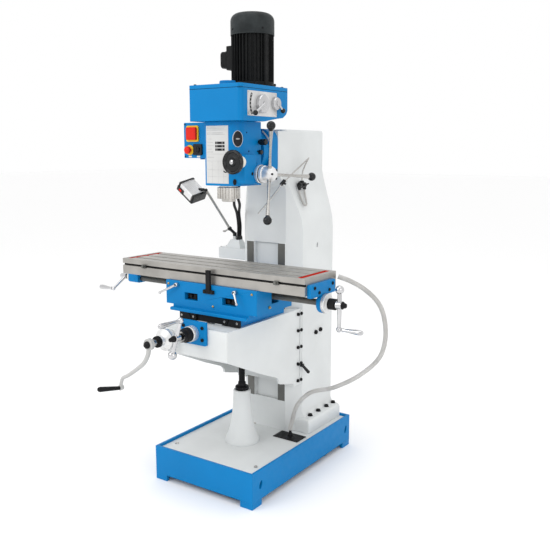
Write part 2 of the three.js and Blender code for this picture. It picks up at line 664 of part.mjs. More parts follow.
function motorBody() {
  const m = MOTOR;
  const fins = toothedRing(28, 82, m.radius, 0, [0.24, 0.18]);
  const terminal = join(
    prism(roundedRect(-112, -70, -78, 22, 8), 'z', 1836, 1938),
    prism(roundedRect(-78, 22, 1843, 1920, 12), 'x', -112, -113.5),
    prism(roundedRect(-72, 16, 1846, 1918, 14), 'x', -150, -112),
  );
  const rib = prism(roundedRect(66, 90, -62 - m.y, -34 - m.y, 4), 'z', m.bottom + 12, m.split);
  const bolts = [[70, -66], [70, 66], [-70, -66], [-70, 66]];
  return cut(
    join(
      shift(prism(fins, 'z', m.bottom + 22, m.split), 0, m.y, 0),
      rod('z', m.bottom + 10, m.bottom + 24, [0, m.y, 0], m.radius, 24),
      rod('z', m.bottom, m.bottom + 11, [0, m.y, 0], 100, 24),
      ...bolts.map(([x, y]) => rod('z', m.bottom, m.bottom + 18, [x, m.y + y, 0], 9, 8)),
      shift(rib, 0, m.y, 0),
      terminal,
    ),
    rod('z', m.bottom - 5, m.split + 5, [0, m.y, 0], 62, 18),
  );
}

function motorCowl() {
  const m = MOTOR;
  const r = m.radius + 2;
  const foot = m.split + GAP;
  return turned([[0, m.top - 6], [56, m.top - 8], [76, m.top - 18], [85, m.top - 34], [87, m.top - 50],
    [87, foot], [r, foot], [r, m.top - 34], [r - 4, m.top - 20], [r - 13, m.top - 8],
    [r - 28, m.top - 1], [r - 40, m.top], [0, m.top]], 'z', [0, m.y, 0], 24);
}

function motorShaft() {
  const m = MOTOR;
  const pinion = shift(prism(gearOutline(GEARS.motor, 0.5), 'z', GEARS.z0, GEARS.z1), 0, m.y, 0);
  return join(
    rod('z', GEARS.z0, m.split - 5, [0, m.y, 0], 12, 12),
    rod('z', 1790, 1945, [0, m.y, 0], 60, 18),
    rod('z', GEARS.z1 - 1, 1690, [0, m.y, 0], 20, 14),
    pinion,
  );
}

function gearOutline(teeth, phase) {
  const pitch = (teeth * GEARS.module) / 2;
  return toothedRing(teeth, pitch - GEARS.module, pitch + 4, phase);
}

function driveGear() {
  const { z0, z1 } = GEARS;
  const hub = rod('z', 1620.5, z0 + 1, [0, 0, 0], 26, 14);
  const gear = join(prism(gearOutline(GEARS.spindle, 0.5), 'z', z0, z1), hub);
  return cut(shift(gear, 0, SPINDLE.y, 0), rod('z', 1600, 1700, [0, SPINDLE.y, 0], 14.5, 14));
}

function idlerGear() {
  const { z0, z1 } = GEARS;
  return shift(join(
    prism(gearOutline(GEARS.idler, -0.25), 'z', z0, z1),
    rod('z', 1629, 1690, [0, 0, 0], 8, 10),
  ), 0, GEARS.idlerY, 0);
}

// The plate on the head's left side, with the switch enclosure behind it.
function controlPlate() {
  return cut(
    join(
      prism(roundedRect(-251, HEAD.left - GAP, 1452, 1606, 3), 'y', -206, -200),
      prism(roundedRect(-243, -100, 1460, 1598, 6), 'y', -201, -152),
      rod('z', 1446, 1462, [-170, -176, 0], 11, 10),
    ),
    rod('y', -210, -180, STOP_BUTTON, 9.5, 16),
  );
}

function switchCover() {
  const frame = prism(roundedRect(-232, -163, 1523, 1593, 9), 'y', -213, -206 - GAP);
  const lid = prism(roundedRect(-225, -170, 1531, 1586, 6), 'y', -224, -212);
  return join(frame, lid);
}

const STOP_BUTTON = [-216, 0, 1487];

function stopButton() {
  return turned([[0, -234], [12, -233], [17, -228], [17, -222], [9, -220], [9, -190], [0, -190]], 'y',
    STOP_BUTTON, 16);
}

function speedSelector(d) {
  const face = GEARBOX.half + 2;
  return join(
    rod('x', GEARBOX.half - 12, face + 1, [0, d.y, d.z], 8, 10),
    turned([[0, 0], [d.radius, 0], [d.radius, d.thick - 3], [d.radius - 4, d.thick], [0, d.thick]], 'x',
      [face, d.y, d.z], 18),
    strut([face + d.thick - 2, d.y, d.z], [face + d.thick + 1, d.knobY, d.knobZ], 6, 4.5),
    ball([face + d.thick + 2, d.knobY, d.knobZ], 11, 8),
  );
}

function quill() {
  const collar = shift(prism(toothedRing(20, 45.5, 50, 0, [0.4, 0.28]), 'z', 1281, 1329), 0, SPINDLE.y, 0);
  return cut(
    join(rod('z', 1281, 1590, [0, SPINDLE.y, 0], 40, 20), collar),
    rod('z', 1270, 1600, [0, SPINDLE.y, 0], 26, 18),
  );
}

function spindle() {
  return turned([[0, 1330], [8, 1324], [16, SPINDLE.noseZ], [30, SPINDLE.noseZ], [30, 1280.5],
    [25.5, 1280.5], [25.5, 1600], [14, 1604], [14, 1762], [0, 1762]], 'z', [0, SPINDLE.y, 0], 18);
}

function feedHub() {
  return turned([[0, -60], [19.5, -60], [19.5, 120], [39, 120], [39, 133], [36, 136], [36, 150],
    [33, 152], [33, 186], [26, 196], [12, 206], [0, 208]], 'x', [0, FEED.y, FEED.z], 20);
}

// A feed lever leaves the hub at an angle from straight up, turning towards the column.
function feedLever(degrees) {
  const angle = (degrees * Math.PI) / 180;
  const dir = [Math.sin(FEED.cone), Math.cos(FEED.cone) * Math.sin(angle),
    Math.cos(FEED.cone) * Math.cos(angle)];
  const at = (t) => [172 + t * dir[0], FEED.y + t * dir[1], FEED.z + t * dir[2]];
  return join(
    strut(at(39), at(FEED.leverLength - 12), 7, 6.5),
    strut(at(FEED.leverLength - 36), at(FEED.leverLength - 8), 7.5, 10, 12),
    ball(at(FEED.leverLength), 18.5, 10),
  );
}

function fineFeedWheel() {
  return turned([[0, -322], [12, -322], [14, -316], [38, -314], [44, -320], [50, -316], [50, -300],
    [44, -296], [28, -296], [28, -272], [24, -266], [24, -250 - GAP], [8, -250 - GAP], [8, -208],
    [0, -208]], 'y', [FINE.x, 0, FINE.z], 20);
}

// ---------------------------------------------------------------- coolant return hose
// From the tray's drain up past the knee and the saddle to the table's end.
const DRAIN_PATH = new THREE.CatmullRomCurve3([[163, 36, 180 + GAP], [163, 36, 190], [169, 38, 214],
  [199, 38, 306], [268, 40, 382], [392, 45, 431], [519, 50, 511], [612, 50, 608], [640, 43, 700],
  [640, 20, 800], [622, 0, 858], [578, -37, 915], [525, -70, 951], [480, -90, 968],
].map((p) => new THREE.Vector3(...p)), false, 'centripetal');
const DRAIN_RADIUS = 10;
// Where one length of the hose hands over to the next, as shares of the whole.
const DRAIN_SPLITS = [0, 0.3, 0.56, 1];

function drainHose(index) {
  const clearance = (3 * GAP) / DRAIN_PATH.getLength();
  const from = DRAIN_SPLITS[index] + (index ? clearance : 0);
  const to = DRAIN_SPLITS[index + 1] - (index < 2 ? clearance : 0);
  const count = 16;
  const points = [];
  for (let i = 0; i <= count; i += 1) {
    points.push(DRAIN_PATH.getPointAt(from + ((to - from) * i) / count).toArray());
  }
  return sweep(points, DRAIN_RADIUS, 8, count);
}

// ---------------------------------------------------------------- the machine
const L = TABLE_SCREW;
const spindleAxis = [0, SPINDLE.y, 0];
addPart(machine, 'base_casting', baseCasting(), blue);
addPart(machine, 'column', column(), white);
addPart(machine, 'screw_pedestal', screwPedestal(), white, [0, SCREW_Y, 0]);
addPart(machine, 'pedestal_nut', pedestalNut(), castBlack, [0, SCREW_Y, 0]);
addPart(machine, 'swivel_block', swivelBlock(), blue);
addPart(machine, 'electrical_box', electricalBox(), white);
addPart(machine, 'drain_plate', drainPlate(), castBlack);
addPart(machine, 'coolant_valve', coolantValve(), castBlack);
addPart(machine, 'coolant_nozzle', coolantNozzle(), steel, [VALVE.x + 6, VALVE.y, VALVE.z]);
addPart(machine, 'coolant_hose', coolantHose(), clear);
addPart(machine, 'conduit_left', conduit(CONDUIT_BOX_END[0], [-30, -118], -9), castBlack);
addPart(machine, 'conduit_right', conduit(CONDUIT_BOX_END[1], [-8, -132], 9), castBlack);
addPart(machine, 'lamp_arm', lampArm(), castBlack, LAMP.foot);
addPart(machine, 'lamp_head', lampHead(), castBlack, LAMP.end);
['lower', 'middle', 'upper'].forEach((length, i) =>
  addPart(machine, `drain_hose_${length}`, drainHose(i), clear));

const knee = new THREE.Group();
addPart(knee, 'knee_casting', kneeCasting(), white);
addPart(knee, 'knee_gib', kneeGib(), white);
addPart(knee, 'knee_lock', kneeLock(), black, [0, 116, 480]);
addPart(knee, 'cross_screw_bearing', crossScrewBearing(), blue);
addPart(knee, 'elevating_screw', elevatingScrew(), castBlack, [0, SCREW_Y, 0]);
addPart(knee, 'lift_shaft', liftShaft(), steel, [LIFT.x, 0, LIFT.z]);
addPart(knee, 'lift_crank', liftCrank(), white, [LIFT.x, 0, LIFT.z]);
addPart(knee, 'lift_grip', liftGrip(), castBlack, LIFT_GRIP);
addPart(knee, 'cross_screw', crossScrew(), steel, [0, 0, CROSS_SCREW_Z]);
addPart(knee, 'cross_crank', crossCrank(), chrome, [0, -563, CROSS_SCREW_Z]);
addPart(knee, 'cross_grip', crossGrip(), chrome);
machine.add(knee);

const saddle = new THREE.Group();
addPart(saddle, 'saddle_casting', saddleCasting(), blue);
addPart(saddle, 'travel_stop', travelStop(), black);
addPart(saddle, 'table_lock_left', lockLever(-178, [-256, -384, 866]), chrome, [-178, 0, 905]);
addPart(saddle, 'table_lock_right', lockLever(143, [171, -384, 864]), chrome, [143, 0, 905]);
machine.add(saddle);

const table = new THREE.Group();
addPart(table, 'work_table', workTable(), steel);
addPart(table, 'end_bracket_left', leftBracket(), blue);
addPart(table, 'end_bracket_right', rightBracket(), blue);
addPart(table, 'table_screw', tableScrew(), steel, [0, L.y, L.z]);
addPart(table, 'table_crank_right', rightCrank(), chrome, [CRANK_RIGHT.x0, L.y, L.z]);
addPart(table, 'table_grip_right', rightGrip(), chrome);
addPart(table, 'table_crank_left', leftCrank(), chrome, [CRANK_LEFT.x, L.y, L.z]);
addPart(table, 'table_grip_left', leftGrip(), chrome);
machine.add(table);

// The head and everything it carries swivels about the flange's axis.
const head = new THREE.Group();
addPart(head, 'head_casting', headCasting(), blue);
addPart(head, 'gearbox_housing', gearboxHousing(), blue);
addPart(head, 'gearbox_lid', gearboxLid(), blue);
addPart(head, 'motor_body', motorBody(), castBlack, [0, MOTOR.y, 0]);
addPart(head, 'motor_cowl', motorCowl(), castBlack, [0, MOTOR.y, 0]);
addPart(head, 'motor_shaft', motorShaft(), steel, [0, MOTOR.y, 0]);
addPart(head, 'drive_gear', driveGear(), steel, spindleAxis);
addPart(head, 'idler_gear', idlerGear(), steel, [0, GEARS.idlerY, 0]);
addPart(head, 'control_plate', controlPlate(), blue);
addPart(head, 'switch_cover', switchCover(), red, [0, -206, 1594]);
addPart(head, 'stop_button', stopButton(), red, STOP_BUTTON);
['front', 'rear'].forEach((place, i) => addPart(head, `speed_selector_${place}`,
  speedSelector(SELECTORS[i]), chrome, [GEARBOX.half, SELECTORS[i].y, SELECTORS[i].z]));
addPart(head, 'quill', quill(), steel, spindleAxis);
addPart(head, 'spindle', spindle(), steel, spindleAxis);
addPart(head, 'feed_hub', feedHub(), chrome, [0, FEED.y, FEED.z]);
[-26, 94, -146].forEach((degrees, i) => addPart(head, `feed_lever_${i + 1}`, feedLever(degrees),
  chrome, [172, FEED.y, FEED.z]));
addPart(head, 'fine_feed_wheel', fineFeedWheel(), black, [FINE.x, 0, FINE.z]);
machine.add(head);

// The origin goes under the middle of everything but the free cords.
const CORDS = ['coolant_hose', 'conduit_left', 'conduit_right', 'drain_hose_lower',
  'drain_hose_middle', 'drain_hose_upper'];
machine.updateMatrixWorld(true);
const bounds = new THREE.Box3();
machine.traverse((piece) => {
  if (piece.isMesh && !CORDS.includes(piece.name)) bounds.expandByObject(piece);
});
const middle = bounds.getCenter(new THREE.Vector3());
machine.position.set(-middle.x, -middle.y, -bounds.min.z);

export default machine;
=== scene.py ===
"""A knee-type vertical milling machine, dressed for a studio picture around its fixed frame.

Lengths are millimetres in the machine's own axes (X along the table, Y back to the column, Z up,
from the middle of the base) until place() turns them into the frame's metres.
"""
import json
import math

import bmesh
import bpy
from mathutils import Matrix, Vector

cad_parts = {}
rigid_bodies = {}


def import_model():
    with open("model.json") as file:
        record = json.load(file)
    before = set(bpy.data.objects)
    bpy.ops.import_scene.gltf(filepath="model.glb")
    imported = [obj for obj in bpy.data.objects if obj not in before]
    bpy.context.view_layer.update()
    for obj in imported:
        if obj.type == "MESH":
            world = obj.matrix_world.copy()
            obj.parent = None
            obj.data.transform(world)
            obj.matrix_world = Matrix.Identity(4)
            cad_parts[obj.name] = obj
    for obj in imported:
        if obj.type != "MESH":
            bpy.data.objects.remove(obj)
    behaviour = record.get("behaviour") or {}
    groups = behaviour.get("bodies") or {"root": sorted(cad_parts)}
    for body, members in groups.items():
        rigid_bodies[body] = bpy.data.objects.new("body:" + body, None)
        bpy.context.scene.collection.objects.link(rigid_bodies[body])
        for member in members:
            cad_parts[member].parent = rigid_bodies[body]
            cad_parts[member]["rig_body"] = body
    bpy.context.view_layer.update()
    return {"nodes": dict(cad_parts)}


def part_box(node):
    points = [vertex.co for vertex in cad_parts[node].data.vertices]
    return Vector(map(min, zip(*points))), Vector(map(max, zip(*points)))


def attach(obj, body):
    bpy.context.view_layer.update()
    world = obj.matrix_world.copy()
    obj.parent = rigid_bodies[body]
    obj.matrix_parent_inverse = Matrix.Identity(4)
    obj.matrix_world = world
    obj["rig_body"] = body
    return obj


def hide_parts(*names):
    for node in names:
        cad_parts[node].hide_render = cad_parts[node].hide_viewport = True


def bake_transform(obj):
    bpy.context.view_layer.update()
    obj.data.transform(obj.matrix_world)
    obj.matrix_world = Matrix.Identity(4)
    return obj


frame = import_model()

# ------------------------------------------------------------------ places
_low, _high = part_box("base_casting")
ORIGIN = Vector(((_low.x + _high.x) / 2, (_low.y + _high.y) / 2, 0))


def place(x, y, z):
    """A point given in millimetres from the middle of the base, in the frame's metres."""
    return ORIGIN + Vector((x, y, z)) / 1000


def body_of(node):
    return frame["nodes"][node]["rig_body"]


# ------------------------------------------------------------------ camera
camera_data = bpy.data.cameras.new("camera")
camera_data.sensor_width = 36.0
camera_data.lens = 46.96
camera_data.clip_end = 100
camera = bpy.data.objects.new("camera", camera_data)
camera.location = place(1921.8, -2670.1, 1486.9)
camera.rotation_euler = (math.radians(90 - 9.876), 0, math.radians(34.305))
bpy.context.scene.collection.objects.link(camera)
bpy.context.scene.camera = camera

# ------------------------------------------------------------------ materials


class Surface:
    """A material built from nodes around one Principled shader."""

    def __init__(self, name, color, roughness=0.5, metallic=0.0, **sockets):
        self.material = bpy.data.materials.new(name)
        self.material.use_nodes = True
        self.nodes = self.material.node_tree.nodes
        self.links = self.material.node_tree.links
        self.shader = self.nodes["Principled BSDF"]
        self.shader.inputs["Base Color"].default_value = (*color, 1)
        self.shader.inputs["Roughness"].default_value = roughness
        self.shader.inputs["Metallic"].default_value = metallic
        for socket, value in sockets.items():
            self.shader.inputs[socket.replace("_", " ")].default_value = value
        self.where = self.nodes.new("ShaderNodeTexCoord").outputs["Object"]

    def noise(self, scale, detail=3.0, stretch=None):
        source = self.where
        if stretch:
            mapping = self.nodes.new("ShaderNodeMapping")
            mapping.inputs["Scale"].default_value = stretch
            self.links.new(self.where, mapping.inputs["Vector"])
            source = mapping.outputs["Vector"]
        node = self.nodes.new("ShaderNodeTexNoise")
        node.inputs["Scale"].default_value = scale
        node.inputs["Detail"].default_value = detail
        self.links.new(source, node.inputs["Vector"])
        return node.outputs["Fac"]

    def ramp(self, factor, low, high, a=0.35, b=0.65):
        node = self.nodes.new("ShaderNodeValToRGB")
        for element, position, color in zip(node.color_ramp.elements, (a, b), (low, high)):
            element.position = position
            element.color = (*color, 1)
        self.links.new(factor, node.inputs["Fac"])
        return node.outputs["Color"]

    def span(self, factor, low, high, a=0.3, b=0.7):
        node = self.nodes.new("ShaderNodeMapRange")
        for socket, value in zip(("From Min", "From Max", "To Min", "To Max"), (a, b, low, high)):
            node.inputs[socket].default_value = value
        self.links.new(factor, node.inputs["Value"])
        return node.outputs["Result"]

    def math(self, operation, first, second):
        node = self.nodes.new("ShaderNodeMath")
        node.operation = operation
        for slot, value in zip(node.inputs, (first, second)):
            if isinstance(value, (float, int)):
                slot.default_value = value
            else:
                self.links.new(value, slot)
        return node.outputs[0]

    def mix(self, factor, first, second):
        node = self.nodes.new("ShaderNodeMix")
        node.data_type = "RGBA"
        for slot, value in ((0, factor), (6, first), (7, second)):
            self.links.new(value, node.inputs[slot])
        return node.outputs[2]

    def paint(self, output):
        self.links.new(output, self.shader.inputs["Base Color"])
        return self

    def roughen(self, factor, low, high):
        self.links.new(self.span(factor, low, high), self.shader.inputs["Roughness"])
        return self

    def bump(self, factor, strength, distance=0.001):
        node = self.nodes.new("ShaderNodeBump")
        node.inputs["Strength"].default_value = strength
        node.inputs["Distance"].default_value = distance
        self.links.new(factor, node.inputs["Height"])
        normal = self.shader.inputs["Normal"]
        if normal.is_linked:
            self.links.new(normal.links[0].from_socket, node.inputs["Normal"])
        self.links.new(node.outputs["Normal"], normal)
        return self


def tint(color, amount):
    return tuple(min(1.0, c * amount) for c in color)


def enamel(name, color, gloss=0.34, orange_peel=0.10):
    """Machine enamel over filled castings: slow waves, orange peel and slightly uneven colour."""
    s = Surface(name, color, gloss, 0.0, Specular_IOR_Level=0.14)
    s.paint(s.ramp(s.noise(4.0, 5.0), tint(color, 0.94), tint(color, 1.03)))
    s.roughen(s.noise(35.0, 4.0), gloss - 0.05, gloss + 0.12)
    s.bump(s.noise(14.0, 2.0), 0.10, 0.004)
    s.bump(s.noise(420.0, 2.0), orange_peel, 0.0006)
    return s


def machined(name, color, roughness, stretch, metallic=0.92, scratch=0.25):
    """Ground or turned metal, its marks drawn out along one direction."""
    s = Surface(name, color, roughness, metallic)
    marks = s.noise(60.0, 5.0, stretch)
    s.paint(s.ramp(s.noise(9.0, 4.0), tint(color, 0.85), tint(color, 1.06)))
    s.roughen(marks, roughness - 0.08, roughness + 0.14)
    s.bump(marks, scratch, 0.0004)
    return s


def cast(name, color, roughness, metallic=0.0, grain=260.0, strength=0.35, shine=0.15):
    """Small-grained cast, moulded or crinkled finish."""
    s = Surface(name, color, roughness, metallic, Specular_IOR_Level=shine)
    s.paint(s.ramp(s.noise(18.0, 4.0), tint(color, 0.75), tint(color, 1.3)))
    s.roughen(s.noise(90.0, 3.0), roughness - 0.08, roughness + 0.12)
    s.bump(s.noise(grain, 3.0), strength, 0.0006)
    return s


BLUE = (0.0005, 0.188, 0.475)
WHITE = (0.68, 0.70, 0.70)
ROUND = (5.0, 5.0, 5.0)
M = {
    "blue": enamel("enamel_blue", BLUE, 0.36),
    "white": enamel("enamel_white", WHITE, 0.38, 0.14),
    "ground": machined("ground_iron", (0.40, 0.385, 0.36), 0.36, (1.0, 18.0, 18.0), 0.8),
    "way": machined("scraped_iron", (0.16, 0.16, 0.15), 0.42, (14.0, 14.0, 1.0), 0.75),
    "turned": machined("turned_steel", (0.58, 0.56, 0.53), 0.28, ROUND),
    "satin": machined("satin_steel", (0.48, 0.47, 0.45), 0.24, ROUND, 1.0, 0.12),
    "chrome": machined("chrome", (0.60, 0.60, 0.61), 0.12, ROUND, 1.0, 0.05),
    "dial": machined("dial_aluminium", (0.78, 0.78, 0.78), 0.34, ROUND, 0.75, 0.1),
    "brass": machined("brass", (0.50, 0.34, 0.14), 0.34, ROUND, 1.0, 0.1),
    "silver_plate": machined("silver_plate", (0.66, 0.66, 0.66), 0.40, (1.0, 20.0, 1.0), 0.45,
                             0.06),
    "black": cast("black_oxide", (0.010, 0.010, 0.011), 0.45, 0.2, 300.0, 0.15),
    "phenolic": cast("phenolic_black", (0.006, 0.007, 0.008), 0.20, 0.0, 60.0, 0.05, 0.35),
    "motor": cast("motor_enamel", (0.0055, 0.0058, 0.006), 0.50, 0.0, 380.0, 0.3),
    "cowl": cast("cowl_enamel", (0.022, 0.026, 0.027), 0.46, 0.0, 420.0, 0.2),
    "rubber": cast("rubber", (0.010, 0.010, 0.011), 0.60, 0.0, 500.0, 0.2),
    "ink": cast("printed_ink", (0.02, 0.02, 0.022), 0.5, 0.0, 60.0, 0.02),
    "faded_ink": cast("faded_ink", (0.40, 0.40, 0.40), 0.5, 0.0, 60.0, 0.02),
    "red": enamel("plastic_red", (0.66, 0.022, 0.012), 0.34, 0.03),
    "red_trough": enamel("enamel_red", (0.62, 0.035, 0.018), 0.42, 0.1),
    "yellow": enamel("plastic_yellow", (0.80, 0.50, 0.03), 0.36, 0.03),
    "label": enamel("printed_plate", (0.58, 0.58, 0.57), 0.45, 0.02),
    "silver_paint": enamel("silver_paint", (0.50, 0.50, 0.49), 0.30, 0.05),
    "cream": enamel("cream_plastic", (0.75, 0.72, 0.64), 0.42, 0.03),
}


def hose_surface():
    """Clear vinyl that has gone slightly grey."""
    low, high = (0.50, 0.49, 0.47), (0.68, 0.67, 0.65)
    s = Surface("hose_vinyl", high, 0.30, 0.0, Transmission_Weight=0.35, IOR=1.45)
    s.paint(s.ramp(s.noise(12.0, 4.0), low, high))
    s.bump(s.noise(160.0, 2.0), 0.08, 0.0006)
    return s


def glass_surface():
    s = Surface("lamp_glass", (0.90, 0.92, 0.92), 0.18, 0.0, Transmission_Weight=0.7, IOR=1.45)
    s.bump(s.noise(180.0, 1.0, (1.0, 0.05, 1.0)), 0.4, 0.001)
    return s


def base_surface():
    """The base is blue outside, and white in the tray between the rims."""
    s = enamel("base_two_colour", BLUE, 0.36)
    split = s.nodes.new("ShaderNodeSeparateXYZ")
    s.links.new(s.where, split.inputs["Vector"])
    low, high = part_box("base_casting")
    rim = 0.0135
    tray = 0.13
    inside = s.math("GREATER_THAN", split.outputs[2], tray)
    for axis in (0, 1):
        above = s.math("GREATER_THAN", split.outputs[axis], low[axis] + rim)
        below = s.math("LESS_THAN", split.outputs[axis], high[axis] - rim)
        inside = s.math("MULTIPLY", inside, s.math("MULTIPLY", above, below))
    blue = s.shader.inputs["Base Color"].links[0].from_socket
    white = s.ramp(s.noise(5.0, 5.0), tint(WHITE, 0.95), tint(WHITE, 1.02))
    return s.paint(s.mix(inside, blue, white))


M["hose"] = hose_surface()
M["glass"] = glass_surface()
M["base"] = base_surface()

# ------------------------------------------------------------------ making pieces


def soften(piece, width):
    """Rounds the edges a little, and shades the flats flat."""
    weld = piece.modifiers.new("weld", "WELD")
    weld.merge_threshold = 0.00002
    bevel = piece.modifiers.new("edges", "BEVEL")
    bevel.width = width / 1000
    bevel.segments = 2
    bevel.limit_method = "ANGLE"
    bevel.angle_limit = math.radians(33)
    bevel.use_clamp_overlap = False
    weighted = piece.modifiers.new("shading", "WEIGHTED_NORMAL")
    weighted.keep_sharp = False


def smooth(data, degrees=33):
    for polygon in data.polygons:
        polygon.use_smooth = True
    data.set_sharp_from_angle(angle=math.radians(degrees))


def rounded(x0, x1, y0, y1, radius, steps=6):
    """The outline of a rectangle with round corners."""
    points = []
    corners = ((x1 - radius, y0 + radius, -90), (x1 - radius, y1 - radius, 0),
               (x0 + radius, y1 - radius, 90), (x0 + radius, y0 + radius, 180))
    for cx, cy, start in corners:
        for i in range(steps + 1):
            a = math.radians(start + 90 * i / steps)
            points.append((cx + radius * math.cos(a), cy + radius * math.sin(a)))
    return points


def smooth_path(points, spacing=6.0):
    """Points along a centripetal Catmull-Rom curve through the given ones."""
    points = [Vector(p) for p in points]
    first = points[0] * 2 - points[1]
    last = points[-1] * 2 - points[-2]
    line = [first, *points, last]
    out = []
    for p0, p1, p2, p3 in zip(line, line[1:], line[2:], line[3:]):
        d0, d1, d2 = ((b - a).length ** 0.5 for a, b in ((p0, p1), (p1, p2), (p2, p3)))
        t1 = ((p1 - p0) / d0 - (p2 - p0) / (d0 + d1) + (p2 - p1) / d1) * d1
        t2 = ((p2 - p1) / d1 - (p3 - p1) / (d1 + d2) + (p3 - p2) / d2) * d1
        steps = max(2, round((p2 - p1).length / spacing))
        for i in range(steps):
            t = i / steps
            cubic = (p1 - p2) * 2 + t1 + t2
            square = (p2 - p1) * 3 - t1 * 2 - t2
            out.append(p1 + t1 * t + square * t * t + cubic * t ** 3)
    return [*out, points[-1]]


class Solid:
    """Closed shapes given in millimetres, gathered into one piece."""

    def __init__(self):
        self.mesh = bmesh.new()

    def skin(self, rings, closed=False):
        """Skins over rings of points. A ring of one point is a tip."""
        made = [[self.mesh.verts.new(place(*p)) for p in ring] for ring in rings]
        count = max(len(ring) for ring in made)
        for a, b in zip(made, made[1:] + (made[:1] if closed else [])):
            for i in range(count):
                j = (i + 1) % count
                corners = (a[i % len(a)], a[j % len(a)], b[j % len(b)], b[i % len(b)])
                corners = list(dict.fromkeys(corners))
                if len(corners) > 2:
                    self.mesh.faces.new(corners)
        if not closed:
            for ring in (made[0], made[-1]):
                if len(ring) > 2:
                    self.mesh.faces.new(ring)
        return self

    def lathe(self, profile, axis, centre, sides=48, closed=False):
        """Turns a profile of (radius, distance along the axis) about the axis through centre."""
        rings = []
        for radius, along in profile:
            ring = []
            for i in range(sides if radius > 0 else 1):
                a = 2 * math.pi * i / sides
                u, v = radius * math.cos(a), radius * math.sin(a)
                local = {"x": (along, u, v), "y": (v, along, u), "z": (u, v, along)}[axis]
                ring.append([c + d for c, d in zip(centre, local)])
            rings.append(ring)
        return self.skin(rings, closed)

    def prism(self, outline, axis, a, b):
        """An outline drawn in the two other axes, extruded from a to b along this one."""
        def at(u, v, w):
            return {"x": (w, u, v), "y": (u, w, v), "z": (u, v, w)}[axis]
        return self.skin([[at(u, v, w) for u, v in outline] for w in (a, b)])

    def block(self, x0, x1, y0, y1, z0, z1):
        return self.prism([(x0, y0), (x1, y0), (x1, y1), (x0, y1)], "z", z0, z1)

    def tube(self, points, radius, sides=20):
        """A round bar along the points. radius is a number or a function of the share of the way."""
        points = [Vector(p) for p in points]
        size = radius if callable(radius) else lambda share: radius
        normal = None
        rings = []
        for i, p in enumerate(points):
            ahead = points[min(i + 1, len(points) - 1)] - points[max(i - 1, 0)]
            ahead.normalize()
            normal = normal or ahead.orthogonal()
            normal = (normal - ahead * normal.dot(ahead)).normalized()
            side = ahead.cross(normal)
            r = size(i / (len(points) - 1))
            angles = [2 * math.pi * k / sides for k in range(sides)]
            rings.append([p + (normal * math.cos(a) + side * math.sin(a)) * r for a in angles])
        return self.skin(rings)

    def rod(self, p, q, r0, r1=None, sides=28):
        r1 = r0 if r1 is None else r1
        return self.tube([p, q], lambda share: r0 + (r1 - r0) * share, sides)

    def ball(self, centre, radius, sides=32):
        half = sides // 2
        turns = [math.pi * i / half for i in range(half + 1)]
        profile = [(radius * math.sin(t) if 0 < i < half else 0, -radius * math.cos(t))
                   for i, t in enumerate(turns)]
        return self.lathe(profile, "z", centre, sides)

    def screw(self, centre, axis, radius, height, sign=1):
        """A socket-head screw whose head stands on a face."""
        profile = [(0, 0.4), (0.5, 0.4), (0.5, 1), (0.86, 1), (1, 0.84), (1, -0.05), (0, -0.05)]
        scaled = [(r * radius, h * height * sign) for r, h in profile]
        return self.lathe(scaled, axis, centre, 20)

    def ticks(self, axis, centre, radius, along, length, count, width=0.9, tall=5):
        """Graduations round a dial, the longer ones a whole number of marks apart."""
        for i in range(count):
            a = 2 * math.pi * i / count
            end = along + length * (1.0 if i % tall == 0 else 0.6)
            ring = []
            for u, v in ((radius - 0.4, -width / 2), (radius + 0.25, -width / 2),
                         (radius + 0.25, width / 2), (radius - 0.4, width / 2)):
                ring.append((u * math.cos(a) - v * math.sin(a), u * math.sin(a) + v * math.cos(a)))
            rings = []
            for h in (along, end):
                rings.append([[c + d for c, d in zip(centre, {"x": (h, u, v), "y": (v, h, u),
                                                              "z": (u, v,
                                                                    h)}[axis])] for u, v in ring])
            self.skin(rings)
        return self

    def done(self, name, finish, body, edges=0.0, replaces=()):
        """Turns what was gathered into a piece that rides on a body."""
        bmesh.ops.recalc_face_normals(self.mesh, faces=self.mesh.faces)
        data = bpy.data.meshes.new(name)
        self.mesh.to_mesh(data)
        self.mesh.free()
        data.materials.append(M[finish].material)
        smooth(data)
        piece = bpy.data.objects.new(name, data)
        bpy.context.scene.collection.objects.link(piece)
        if edges:
            soften(piece, edges)
        if body:
            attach(piece, body)
        if replaces:
            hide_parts(*replaces)
        return piece


def stand_in(solid, name, node, finish, edges=0.0):
    """A finely made piece that is shown in place of a plain node."""
    return solid.done(name, finish, body_of(node), edges, [node])


# ------------------------------------------------------------------ hoses and conduits
DRAIN = [(163, 36, 180.3), (163, 36, 190), (169, 38, 214), (199, 38, 306), (268, 40, 382),
         (392, 45, 431), (519, 50, 511), (612, 50, 608), (640, 43, 700), (640, 20, 800),
         (622, 0, 858), (578, -37, 915), (525, -70, 951), (480, -90, 968)]
DRAIN_SPLITS = (0, 0.3, 0.56, 1)
DRAIN_RADIUS = 10
COOLANT = [(139, 143, 1305), (139, 143, 1296), (147, 145, 1266), (159, 157, 1236), (159, 173,
                                                                                    1236),
           (147, 185, 1266), (139, 187, 1296), (139, 187, 1305)]
COOLANT_RADIUS = 4.5
CONDUIT_RADIUS = 6.5


def conduit_route(by, tx, ty, swing):
    bx, bz = -241, 1046.3
    return [(bx, by, bz), (bx, by, bz + 22), (bx + 12, by - 14, bz + 66), (-182, 96 + swing, 1186),
            (-118 + swing, 4 + swing, 1236), (-58 + swing, -80, 1280), (tx - 4, ty + 6, 1312),
            (tx, ty, 1326), (tx, ty, 1336.7)]


def run(points):
    """How long a line of points is, in metres."""
    return sum((b - a).length for a, b in zip(points, points[1:])) / 1000


def cord(name, node, points, radius, finish):
    """A hose or conduit, drawn as one tube along the points and shown in place of its node."""
    points = [Vector(p) for p in points]
    hose = Solid().tube(points, radius, 16).done(name, finish, None)
    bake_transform(hose)
    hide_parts(node)


